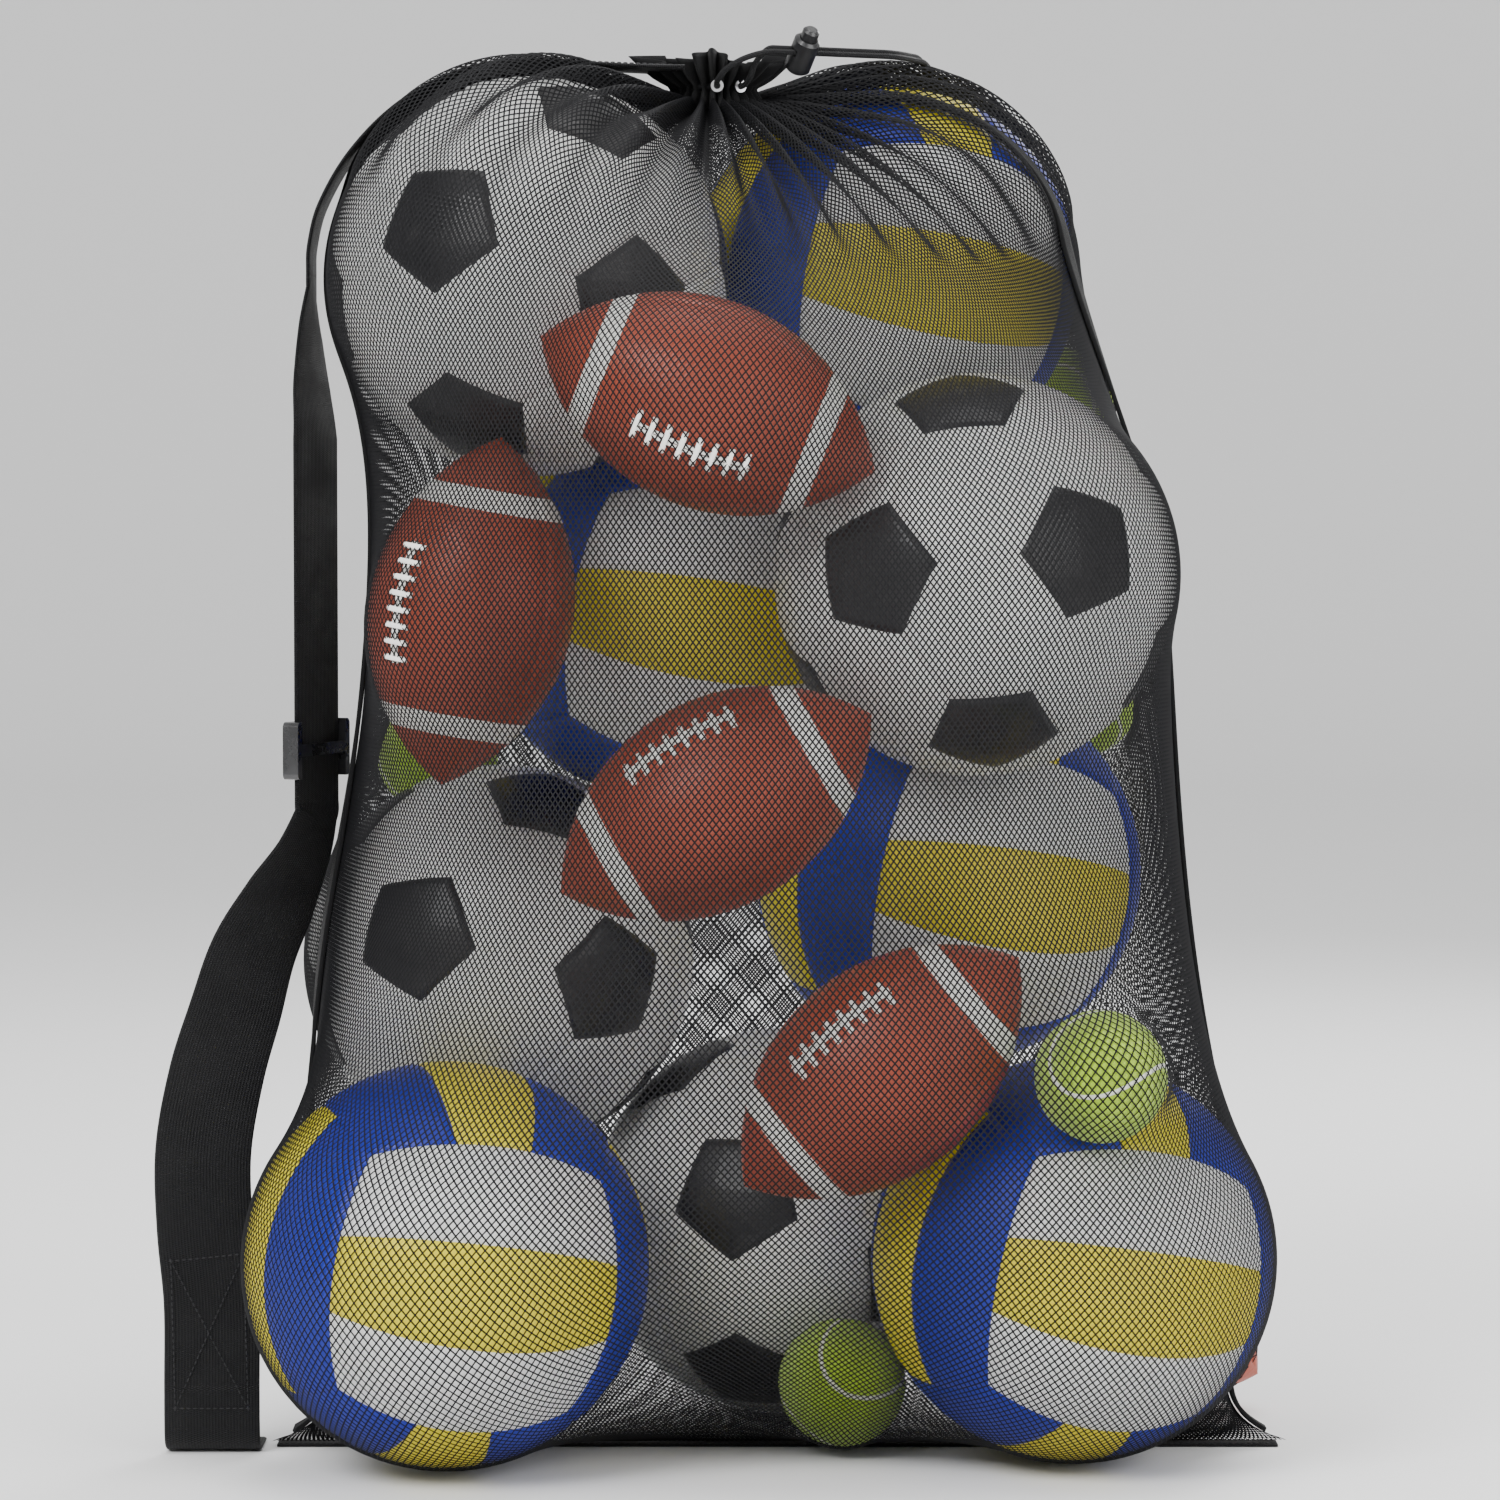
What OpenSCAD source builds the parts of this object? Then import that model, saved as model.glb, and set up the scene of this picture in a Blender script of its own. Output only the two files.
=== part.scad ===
// Mesh ball bag: a drawcord sack of knotless mesh, packed with sports balls and standing on its load.
// Millimetres, +Z up, the strap on the -X side and the front facing -Y.
// The origin is on the floor under the middle of the bag.

/* [Overall] */
// Width of the full bag, from the strap's outer edge to the tip of the right corner
bag_w = 594; // [560:1:760]
// Height of the load, from the floor to the top of the highest ball
bag_h = 720; // [560:1:900]

/* [Balls] */
// Diameter of a soccer ball or volleyball, at the standard bag size
big_ball_d = 208; // [170:1:208]
// Length of a football
football_len = 180; // [140:1:180]
// Diameter of a football at its waist
football_d = 105; // [84:1:105]
// Diameter of a tennis ball
tennis_d = 67; // [50:1:67]

/* [Mesh] */
// Thickness of the solid that stands in for the mesh
mesh_t = 2; // [1.2:0.1:2.4]
// Width of the tape over each side seam
seam_tape_w = 14; // [8:1:24]

/* [Mouth] */
// Outer diameter of the hem when it is drawn closed
hem_d = 52; // [44:1:58]
// Height of the hem
hem_h = 22; // [18:1:27]
// Diameter of the opening that stays when the mouth is drawn closed
throat_d = 26; // [16:1:31]

/* [Drawcord] */
// Diameter of the drawcord
cord_d = 3; // [2:0.1:3.6]

/* [Cord lock] */
// Diameter of the lock's barrel
lock_d = 14; // [13:0.5:18]
// Length of the lock's barrel
lock_len = 20; // [19:0.5:26]
// How far the button presses in
button_travel = 3; // [1:0.5:3.5]

/* [Strap] */
// Width of the webbing
webbing_w = 50; // [38:1:51]
// Thickness of the webbing
webbing_t = 2; // [1.5:0.1:2.4]

/* [Slider] */
// Height of the slider's frame, along the webbing
slider_h = 30; // [26:1:40]
// Width of each of the slider's bars
slider_bar = 6; // [5:0.5:7]

/* [Hidden] */
$fn = 64;
standard_w = 594;
standard_h = 720;
spread_xy = bag_w / standard_w;
spread_z = bag_h / standard_h;
load_scale = min(spread_xy, spread_z);
big_r = big_ball_d / 2 * load_scale;
tennis_r = tennis_d / 2 * load_scale;
football_half = football_len / 2 * load_scale;
football_r = football_d / 2 * load_scale;
ball_wall = 3;

// The middle of each ball, and how far a football's long axis is turned up from +X
soccer_places = [[-106, -10, 614], [125, -49, 460], [-125, 66, 252], [26, 84, 108]];
volleyball_places = [[81, 84, 616], [-36, 84, 440], [116, 81, 297], [-146, -84, 108], [175, -62, 108]];
football_places = [[-12, -135, 547], [-133, -80, 442], [-8, -133, 347], [75, -132, 212], [210, 104, 68]];
football_turns = [-22, 80, 30, 40, -32];
tennis_places = [[176, 158, 548], [190, 155, 388], [-163, 148, 357], [184, -154, 212], [57, -36, 39]];

// A football's laces: their turn about its long axis, from its upper side towards the front
laces_turns = [118, 48, 42, 48, 60];
laces_h = 1.4;
laces_len = 66;
laces_spine_w = 4;
laces_bar = [3, 16];
laces_bars = 8;
football_steps = 12;

// The mesh is a skin over overlapping groups of balls, so that it necks in between them
mesh_gap = 3;
top_sag = 25;
neck_place = [-10, 30, 700];
neck_pad_h = 8;
right_corner = [294, 0, 2];
left_corner = [-236, 0, 4];
corner_size = [6, 6, 16];
hull_fn = 32;
small_hull_fn = 20;
seam_tape_t = 1.2;
seam_tape_low = 8;
hem_clearance = 0.05;

// Bottom binding, let in flush with the underside of the mesh
binding_w = 16;
binding_t = 1.2;
binding_x = [-240, 290];
binding_gap = 0.1;

// Mouth hem, the channel for the drawcord, and the two eyelets
channel_h = 14;
channel_gap = 0.6;
eyelet_angles = [-86, -58];
eyelet_gap = 0.3;
eyelet_rim_w = 1.5;
eyelet_rim_t = 1;
cord_start_gap = 0.05;

// Drawcord: each strand leaves an eyelet, runs straight through the lock and falls down the back of the bag
cord_sides = 8;
cord_yaw = 30;
lock_tilt = 40;
strand_gap = 0.4;
straight_start = [22, -5, 731];
straight_len = 66;
lock_at = 18;
rise_a = [[-8, -5, 716], [-3, -9, 722], [8, -10, 728]];
rise_b = [[9, -1, 718], [12.5, -2.5, 726.5]];
tail = [[88, 38, 731], [96, 56, 731], [102, 78, 731], [106, 102, 728], [108, 126, 719], [109, 152, 705],
    [109, 176, 681], [109, 192, 645], [108, 198, 606], [106, 201, 562], [103, 203, 516], [101, 203, 470],
    [100, 204, 430]];
// How far strand b lies from strand a at each place of the tail; the last one holds from there on
tail_steps = [[-2.2, 1.4, 2.3], [-2.6, 0.9, 2.3], [-2.8, 0.6, 2.2], [-3.2, 0.4, 1.4], [-3.4, 0, 0.4],
    [-3.5, 0, 0]];
knot_d = 11;
knot_h = 14;

// Cord lock, in its own frame: the button's axis is +Z and the cord runs along X
barrel_low = 12;
barrel_bevel = 1.5;
button_r = 4.5;
button_gap = 0.3;
button_low = 4;
button_out = 6;
cord_slot_gap = 0.4;
spring_r = 3.4;
spring_wire_r = 0.45;
spring_turns = 3;
spring_steps = 48;
spring_floor = 2.2;

// Strap: each stop is a point on the webbing's middle line, then the turn of its width about +Z
top_path = [[-25, 723], [-40, 723], [-72, 724.5], [-106, 726.6], [-140.5, 721.3], [-173, 704.5],
    [-198.5, 679.5],
    [-215, 651.5], [-220.5, 630], [-221, 615]];
top_path_y = 12;
upper_stops = [[-221, 12, 615, 90], [-221, 12, 606, 90], [-221, 8, 586, 82], [-220, 2, 560, 74],
    [-218, -4, 530, 68], [-218, -4, 340, 68]];
lower_stops = [[-218, -4, 340, 68], [-218, -4, 334, 68], [-225, -8, 312, 58], [-236, -14, 290, 44],
    [-250, -22, 262, 32], [-259, -28, 232, 22], [-268.5, -31, 200, 14], [-275.5, -33, 160, 8],
    [-275, -33, 120, 4], [-272, -30, 80, 0], [-272, -30, 34, 0]];
anchor_path = [[-30, 34], [-30, 18], [-28, 7], [-20, 1.8], [-8, 1], [12, 1]];
anchor_x = -272;

// Tri-glide slider on the strap's straight stretch
slider_place = [-218, -4, 368];
slider_turn = 68;
slider_rail = 5;
slider_half_t = 4.4;
slider_gap = 0.5;
slider_round = 3;

// ---- Places that follow the overall sizes

function spread(p) = [p[0] * spread_xy, p[1] * spread_xy, p[2] * spread_z];
neck = spread(neck_place);
function by_hem(points) = [for (p = points) p - neck_place + neck];
function by_top_ball(points) = let (ball = volleyball_places[0])
    [for (p = points) spread(ball) + (p - ball) * load_scale];

straight_dir = [cos(cord_yaw), sin(cord_yaw), 0];
strand_side = [-sin(cord_yaw) * cos(lock_tilt), cos(cord_yaw) * cos(lock_tilt), sin(lock_tilt)];
strand_step = (cord_d + strand_gap) * strand_side;
straight = [straight_start, straight_start + straight_len * straight_dir];
channel_ring_r = (hem_d + throat_d) / 4;
function tail_step(i) = tail_steps[min(i, len(tail_steps) - 1)];
function out_of_eyelet(i) = [for (r = [channel_ring_r + cord_d / 2 + cord_start_gap, hem_d / 2 + cord_d])
    neck + [r * cos(eyelet_angles[i]), r * sin(eyelet_angles[i]), channel_h]];
strand_a = concat(out_of_eyelet(0), by_hem(concat(rise_a, straight)), by_top_ball(tail));
strand_b = concat(out_of_eyelet(1), by_hem(rise_b),
    [for (p = by_hem(straight)) p + strand_step],
    [for (i = [0:len(tail) - 1]) by_top_ball(tail)[i] + tail_step(i)]);
cord_end = strand_a[len(strand_a) - 1] + tail_step(len(tail) - 1) / 2;
lock_place = by_hem([straight_start + lock_at * straight_dir + strand_step / 2])[0];

// ---- Helpers

function unit(v) = v / norm(v);
function step_dir(points, i) = unit(points[i + 1] - points[i]);
function heading(points, i) = let (last = len(points) - 1)
    i == 0 ? step_dir(points, 0)
    : i == last ? step_dir(points, last - 1)
    : unit(step_dir(points, i - 1) + step_dir(points, i));

// A closed skin over rings that follow each other in one list of points
module skin(rings) {
    count = len(rings);
    sides = len(rings[0]);
    polyhedron([for (ring = rings) each ring], concat(
        [[for (k = [0:sides - 1]) k]],
        [for (j = [0:count - 2], k = [0:sides - 1]) let (a = j * sides, n = (k + 1) % sides)
            each k < sides / 2
                ? [[a + k, a + sides + k, a + sides + n], [a + k, a + sides + n, a + n]]
                : [[a + k, a + sides + k, a + n], [a + n, a + sides + k, a + sides + n]]],
        [[for (k = [sides - 1:-1:0]) (count - 1) * sides + k]]));
}

// A round tube along a route; across is a direction that the route never takes
module tube(route, r, sides, across) {
    skin([for (i = [0:len(route) - 1])
        let (dir = heading(route, i), u = unit(cross(dir, across)), v = cross(dir, u))
        [for (k = [0:sides - 1]) route[i] + r * (cos(360 * k / sides) * u + sin(360 * k / sides) * v)]]);
}

// Webbing through stops of [x, y, z, turn of its width about +Z]
module webbing(stops) {
    middles = [for (s = stops) spread(s)];
    skin([for (i = [0:len(stops) - 1])
        let (dir = heading(middles, i), wide = [cos(stops[i][3]), sin(stops[i][3]), 0],
            across = unit(wide - (wide * dir) * dir), half_w = across * webbing_w / 2,
            half_t = cross(dir, across) * webbing_t / 2)
        [for (c = [[1, 1], [-1, 1], [-1, -1], [1, -1]]) middles[i] + c[0] * half_w + c[1] * half_t]]);
}

// The side view of webbing that follows a flat path
module webbing_outline(path) {
    sides = [for (i = [0:len(path) - 1]) let (dir = heading(path, i)) [-dir[1], dir[0]] * webbing_t / 2];
    last = len(path) - 1;
    polygon(concat([for (i = [0:last]) path[i] + sides[i]], [for (i = [last:-1:0]) path[i] - sides[i]]));
}

module rounded_plate(size, r) {
    square([size[0] - 2 * r, size[1]], center = true);
    square([size[0], size[1] - 2 * r], center = true);
    for (x = [-1, 1], y = [-1, 1])
        translate([x * (size[0] / 2 - r), y * (size[1] / 2 - r)])
            circle(r);
}

// ---- Balls

module hollow_ball(place, r, wall) {
    translate(spread(place))
        difference() {
            sphere(r);
            sphere(r - wall);
        }
}

// Half of the football's side view, an arc from tip to tip, grown outwards
module football_profile(grow) {
    arc_r = (pow(football_half, 2) + pow(football_r, 2)) / (2 * football_r);
    r = arc_r + grow;
    tip_angle = acos((arc_r - football_r) / r);
    polygon([for (i = [-football_steps:football_steps]) let (a = tip_angle * i / football_steps)
        [abs(i) == football_steps ? 0 : football_r - arc_r + r * cos(a), r * sin(a)]]);
}

module football_solid(grow) {
    rotate([0, 90, 0])
        rotate_extrude()
            football_profile(grow);
}

module at_football(i) {
    translate(spread(football_places[i]))
        rotate([0, -football_turns[i], 0])
            children();
}

module football(i) {
    color("sienna")
        at_football(i)
            difference() {
                football_solid(0);
                football_solid(-ball_wall);
            }
}

module football_laces(i) {
    color("white")
        at_football(i)
            difference() {
                intersection() {
                    football_solid(laces_h);
                    rotate([laces_turns[i], 0, 0]) {
                        lace_strip(laces_len, laces_spine_w, 0);
                        for (k = [0:laces_bars - 1])
                            lace_strip(laces_bar[0], laces_bar[1],
                                (k / (laces_bars - 1) - 0.5) * (laces_len - 6));
                    }
                }
                football_solid(0);
            }
}

module lace_strip(along, over, x) {
    translate([x * load_scale - along * load_scale / 2, -over / 2, 0])
        cube([along * load_scale, over, football_d]);
}

module soccer_ball(i) {
    color("white")
        hollow_ball(soccer_places[i], big_r, ball_wall);
}

module volleyball(i) {
    color("royalblue")
        hollow_ball(volleyball_places[i], big_r, ball_wall);
}

module tennis_ball(i) {
    color("yellowgreen")
        hollow_ball(tennis_places[i], tennis_r, ball_wall);
}

// ---- Mesh

module big_form(place, grow, sag = 0) {
    translate(spread(place) - [0, 0, sag])
        sphere(big_r + grow, $fn = hull_fn);
}

module football_form(i, grow) {
    at_football(i)
        football_solid(grow, $fn = small_hull_fn);
}

module tennis_form(i, grow) {
    translate(spread(tennis_places[i]))
        sphere(tennis_r + grow, $fn = small_hull_fn);
}

module neck_form(grow) {
    translate(neck + [0, 0, grow - mesh_gap - neck_pad_h])
        cylinder(r = hem_d / 2 + grow, h = neck_pad_h, $fn = hull_fn);
}

// A bottom corner is at its full size on the mesh's outer side
module corner_form(place, grow) {
    translate(spread(place) + [0, 0, corner_size[2] / 2])
        cube(corner_size + 2 * (grow - mesh_gap - mesh_t) * [1, 1, 1], center = true);
}

module bag_form(grow) {
    hull() {
        big_form(soccer_places[0], grow);
        football_form(1, grow);
        neck_form(grow);
    }
    hull() {
        big_form(volleyball_places[0], grow);
        big_form(soccer_places[1], grow);
        tennis_form(0, grow);
        neck_form(grow);
    }
    hull() {
        big_form(soccer_places[0], grow, top_sag);
        big_form(volleyball_places[0], grow, top_sag);
        football_form(0, grow);
        football_form(1, grow);
        big_form(soccer_places[1], grow);
        big_form(volleyball_places[1], grow);
    }
    hull() {
        football_form(0, grow);
        football_form(1, grow);
        football_form(2, grow);
        big_form(soccer_places[1], grow);
        big_form(volleyball_places[1], grow);
        tennis_form(0, grow);
        tennis_form(1, grow);
        tennis_form(2, grow);
    }
    hull() {
        football_form(2, grow);
        big_form(volleyball_places[1], grow);
        big_form(volleyball_places[2], grow);
        big_form(soccer_places[2], grow);
        football_form(3, grow);
        tennis_form(1, grow);
        tennis_form(2, grow);
        tennis_form(3, grow);
    }
    hull() {
        big_form(soccer_places[2], grow);
        big_form(volleyball_places[2], grow);
        football_form(3, grow);
        big_form(volleyball_places[3], grow);
        big_form(volleyball_places[4], grow);
        big_form(soccer_places[3], grow);
        tennis_form(3, grow);
    }
    hull() {
        big_form(volleyball_places[3], grow);
        big_form(volleyball_places[4], grow);
        big_form(soccer_places[3], grow);
        football_form(4, grow);
        corner_form(left_corner, grow);
        corner_form(right_corner, grow);
    }
}

module binding_box(gap, extra_h) {
    translate([binding_x[0] * spread_xy - gap, -binding_w / 2 - gap, 0])
        cube([(binding_x[1] - binding_x[0]) * spread_xy + 2 * gap, binding_w + 2 * gap, binding_t + extra_h]);
}

// The half space in front of (-1) or behind (1) the side seams, above the floor
module half_space(side) {
    translate([-bag_w, side > 0 ? 0 : -bag_w, 0])
        cube([2 * bag_w, bag_w, 2 * bag_h]);
}

module mesh_panel(side) {
    color([0.12, 0.12, 0.12])
        difference() {
            intersection() {
                bag_form(mesh_gap + mesh_t);
                half_space(side);
            }
            bag_form(mesh_gap);
            translate(neck - [0, 0, standard_w / 2])
                cylinder(r = hem_d / 2 + hem_clearance, h = standard_w);
            translate([0, 0, -binding_gap])
                binding_box(binding_gap, 2 * mesh_t);
        }
}

module front_mesh_panel() {
    mesh_panel(-1);
}

module back_mesh_panel() {
    mesh_panel(1);
}

module side_seam_tape(side) {
    near = 70 * spread_xy;
    color([0.06, 0.06, 0.06])
        difference() {
            intersection() {
                bag_form(mesh_gap + mesh_t + seam_tape_t);
                translate([side > 0 ? near : -near - bag_w, -seam_tape_w / 2, seam_tape_low])
                    cube([bag_w, seam_tape_w, 2 * bag_h]);
            }
            bag_form(mesh_gap + mesh_t);
        }
}

module left_side_seam_tape() {
    side_seam_tape(-1);
}

module right_side_seam_tape() {
    side_seam_tape(1);
}

module bottom_seam_binding() {
    color([0.06, 0.06, 0.06])
        binding_box(0, 0);
}

// ---- Mouth

module ring_channel(r) {
    rotate_extrude()
        translate([channel_ring_r, channel_h])
            circle(r);
}

// A place on the hem's wall, outwards from the channel at one of the eyelets
module at_eyelet(i) {
    translate(neck + [0, 0, channel_h])
        rotate([0, 90, eyelet_angles[i]])
            children();
}

module mouth_hem() {
    color([0.08, 0.08, 0.08])
        difference() {
            translate(neck)
                difference() {
                    cylinder(r = hem_d / 2, h = hem_h);
                    translate([0, 0, -1])
                        cylinder(r = throat_d / 2, h = hem_h + 2);
                    ring_channel(cord_d / 2 + channel_gap);
                }
            for (i = [0, 1])
                at_eyelet(i)
                    translate([0, 0, channel_ring_r])
                        cylinder(r = cord_d / 2 + eyelet_gap, h = hem_d);
        }
}

module mouth_eyelet(i) {
    color("silver")
        at_eyelet(i)
            translate([0, 0, hem_d / 2])
                difference() {
                    cylinder(r = cord_d / 2 + eyelet_gap + eyelet_rim_w, h = eyelet_rim_t);
                    translate([0, 0, -1])
                        cylinder(r = cord_d / 2 + eyelet_gap, h = eyelet_rim_t + 2);
                }
}

module mouth_eyelet_left() {
    mouth_eyelet(0);
}

module mouth_eyelet_right() {
    mouth_eyelet(1);
}

module drawcord_hem_run() {
    color([0.05, 0.05, 0.05])
        translate(neck)
            rotate([0, 0, eyelet_angles[1]])
                rotate_extrude(angle = 360 - (eyelet_angles[1] - eyelet_angles[0]))
                    translate([channel_ring_r, channel_h])
                        circle(cord_d / 2);
}

module drawcord_strand(route) {
    color([0.05, 0.05, 0.05])
        tube(route, cord_d / 2, cord_sides, [0.5, -0.87, 0]);
}

module drawcord_strand_a() {
    drawcord_strand(strand_a);
}

module drawcord_strand_b() {
    drawcord_strand(strand_b);
}

module drawcord_knot() {
    color([0.05, 0.05, 0.05])
        translate(cord_end - [0, 0, knot_h])
            rotate_extrude()
                intersection() {
                    translate([0, knot_h / 2])
                        scale([knot_d / knot_h, 1])
                            circle(knot_h * 0.56);
                    square([knot_d, knot_h]);
                }
}

// ---- Cord lock

barrel_top = lock_len - barrel_low;
cord_slot = [2 * (cord_d + strand_gap / 2 + cord_slot_gap), cord_d + 2 * cord_slot_gap];

module in_lock() {
    translate(lock_place)
        rotate([0, 0, cord_yaw])
            rotate([lock_tilt, 0, 0])
                children();
}

module cord_slot_cut(extra) {
    translate([-lock_d, -cord_slot[0] / 2, -cord_slot[1] / 2])
        cube([2 * lock_d, cord_slot[0], cord_slot[1] + extra]);
}

module cord_lock_barrel() {
    bore_r = button_r + button_gap;
    color([0.04, 0.04, 0.04])
        in_lock()
            difference() {
                rotate_extrude()
                    polygon([[0, -barrel_low], [lock_d / 2 - barrel_bevel, -barrel_low],
                        [lock_d / 2, -barrel_low + barrel_bevel], [lock_d / 2, barrel_top - barrel_bevel],
                        [lock_d / 2 - barrel_bevel, barrel_top], [bore_r, barrel_top],
                        [bore_r, spring_floor - barrel_low], [0, spring_floor - barrel_low]]);
                cord_slot_cut(0);
            }
}

module cord_lock_button() {
    top = barrel_top + button_out;
    color([0.06, 0.06, 0.06])
        in_lock()
            difference() {
                rotate_extrude()
                    polygon([[0, -button_low], [button_r, -button_low], [button_r, top - barrel_bevel],
                        [button_r - barrel_bevel, top], [0, top]]);
                cord_slot_cut(button_travel);
            }
}

module cord_lock_spring() {
    low = spring_floor - barrel_low + spring_wire_r;
    high = -button_low - spring_wire_r;
    turn = 360 * spring_turns / spring_steps;
    color("silver")
        in_lock()
            tube([for (i = [0:spring_steps])
                [spring_r * cos(turn * i), spring_r * sin(turn * i), low + (high - low) * i / spring_steps]],
                spring_wire_r, 6, [0, 0, 1]);
}

// ---- Strap

module strap_top_run() {
    color([0.07, 0.07, 0.07])
        translate([0, (top_path_y * spread_xy) + webbing_w / 2, 0])
            rotate([90, 0, 0])
                linear_extrude(webbing_w)
                    webbing_outline([for (p = top_path) [p[0] * spread_xy, p[1] * spread_z]]);
}

module strap_upper_run() {
    color([0.07, 0.07, 0.07])
        webbing(upper_stops);
}

module strap_lower_run() {
    color([0.07, 0.07, 0.07])
        webbing(lower_stops);
}

module strap_bottom_anchor() {
    start = anchor_path[0];
    top = [start[0] * spread_xy, start[1] * spread_z];
    color([0.07, 0.07, 0.07])
        translate([anchor_x * spread_xy - webbing_w / 2, 0, 0])
            rotate([90, 0, 90])
                linear_extrude(webbing_w)
                    webbing_outline([for (p = anchor_path) p == start ? top
                        : [top[0] + p[0] - start[0], p[1] - 1 + webbing_t / 2]]);
}

module slider_bar_at(z, side) {
    depth = slider_half_t - webbing_t / 2 - slider_gap;
    translate([-webbing_w / 2 - slider_gap - 1, side > 0 ? webbing_t / 2 + slider_gap : -slider_half_t,
        z - slider_bar / 2])
        cube([webbing_w + 2 * slider_gap + 2, depth, slider_bar]);
}

module strap_slider() {
    outer_w = webbing_w + 2 * (slider_gap + slider_rail);
    color([0.04, 0.04, 0.04])
        translate(spread(slider_place))
            rotate([0, 0, slider_turn]) {
                rotate([90, 0, 0])
                    translate([0, 0, -slider_half_t])
                        linear_extrude(2 * slider_half_t)
                            difference() {
                                rounded_plate([outer_w, slider_h], slider_round);
                                square([webbing_w + 2 * slider_gap, slider_h + 1], center = true);
                            }
                slider_bar_at(0, -1);
                for (end = [-1, 1])
                    slider_bar_at(end * (slider_h - slider_bar) / 2, 1);
            }
}

// ---- The part

front_mesh_panel();
back_mesh_panel();
mouth_hem();
mouth_eyelet_left();
mouth_eyelet_right();
left_side_seam_tape();
right_side_seam_tape();
bottom_seam_binding();
drawcord_hem_run();
drawcord_strand_a();
drawcord_strand_b();
drawcord_knot();
cord_lock_barrel();
cord_lock_button();
cord_lock_spring();
strap_top_run();
strap_upper_run();
strap_lower_run();
strap_bottom_anchor();
strap_slider();
for (i = [0:len(soccer_places) - 1])
    soccer_ball(i);
for (i = [0:len(volleyball_places) - 1])
    volleyball(i);
for (i = [0:len(football_places) - 1])
    football(i);
for (i = [0:len(football_places) - 1])
    football_laces(i);
for (i = [0:len(tennis_places) - 1])
    tennis_ball(i);
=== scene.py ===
"""The looks of a mesh ball bag: net, webbing, drawcord and the balls inside, over the fixed CAD frame.

Metres, +Z up, the bag's front facing -Y. Sizes come from the CAD nodes' boxes and the named values below.
"""
import math

import bpy
import numpy as np
from mathutils import Matrix, Vector


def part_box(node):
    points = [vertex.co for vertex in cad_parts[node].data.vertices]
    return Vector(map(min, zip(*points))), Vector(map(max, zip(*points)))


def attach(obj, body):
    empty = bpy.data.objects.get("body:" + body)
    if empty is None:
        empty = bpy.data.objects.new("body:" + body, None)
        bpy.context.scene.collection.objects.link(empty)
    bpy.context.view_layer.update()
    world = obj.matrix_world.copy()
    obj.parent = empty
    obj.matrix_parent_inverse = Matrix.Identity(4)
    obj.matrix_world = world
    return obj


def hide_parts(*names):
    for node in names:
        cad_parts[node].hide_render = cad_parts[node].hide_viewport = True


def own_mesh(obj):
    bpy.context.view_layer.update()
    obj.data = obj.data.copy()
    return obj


MM = 0.001
CAMERA_ELEVATION = 3.0

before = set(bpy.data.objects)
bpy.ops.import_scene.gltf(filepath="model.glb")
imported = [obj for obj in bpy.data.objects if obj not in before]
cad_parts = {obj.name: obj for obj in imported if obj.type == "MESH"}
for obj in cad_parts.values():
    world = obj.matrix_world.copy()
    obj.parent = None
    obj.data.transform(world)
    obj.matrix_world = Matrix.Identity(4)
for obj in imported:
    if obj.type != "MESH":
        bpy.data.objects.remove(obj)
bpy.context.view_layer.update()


def place_of(node):
    """The middle of a CAD node's box, as an array."""
    low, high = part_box(node)
    return (np.array(low) + np.array(high)) / 2


def size_of(node):
    low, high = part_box(node)
    return np.array(high) - np.array(low)


# ---------------------------------------------------------------- sizes

BIG_NAMES = [f"soccer_ball_{i}" for i in range(1, 5)] + [f"volleyball_{i}" for i in range(1, 6)]
FOOTBALL_NAMES = [f"football_{i}" for i in range(1, 6)]
TENNIS_NAMES = [f"tennis_ball_{i}" for i in range(1, 6)]
BIG_R = size_of("soccer_ball_1")[2] / 2
TENNIS_R = size_of("tennis_ball_1")[2] / 2
FOOTBALL_HALF = 90 * MM
FOOTBALL_R = 52.5 * MM
FOOTBALL_ARC_R = (FOOTBALL_HALF ** 2 + FOOTBALL_R ** 2) / (2 * FOOTBALL_R)
FOOTBALL_TURNS = [-22, 80, 30, 40, -32]
LACES_TURNS = [118, 48, 42, 48, 60]

hem_place = place_of("mouth_hem")
HEM_SIZE = size_of("mouth_hem")
NECK = np.array([hem_place[0], hem_place[1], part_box("mouth_hem")[0][2]])

CORD_D = 3 * MM
CORD_YAW = math.radians(30)
LOCK_TILT = math.radians(40)
STRAND_SPACING = 3.4 * MM
STRAIGHT_START = (22, -5, 731)
STRAIGHT_LEN = 66
EYELET_ANGLES = (-86, -58)
CORD_START_RADIUS = 21.05
EYELET_OUT_RADIUS = 29
EYELET_HEIGHT = 14
RISE_A = [(-8, -5, 716), (-3, -9, 722), (8, -10, 728)]
RISE_B = [(9, -1, 718), (12.5, -2.5, 726.5)]
TAIL = [(88, 38, 731), (96, 56, 731), (102, 78, 731), (106, 102, 728), (108, 126, 719), (109, 152, 705),
        (109, 176, 681), (109, 192, 645), (108, 198, 606), (106, 201, 562), (103, 203, 516), (101, 203, 470),
        (100, 204, 430)]
TAIL_STEPS = [(-2.2, 1.4, 2.3), (-2.6, 0.9, 2.3), (-2.8, 0.6, 2.2), (-3.2, 0.4, 1.4), (-3.4, 0, 0.4),
              (-3.5, 0, 0)]

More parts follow.
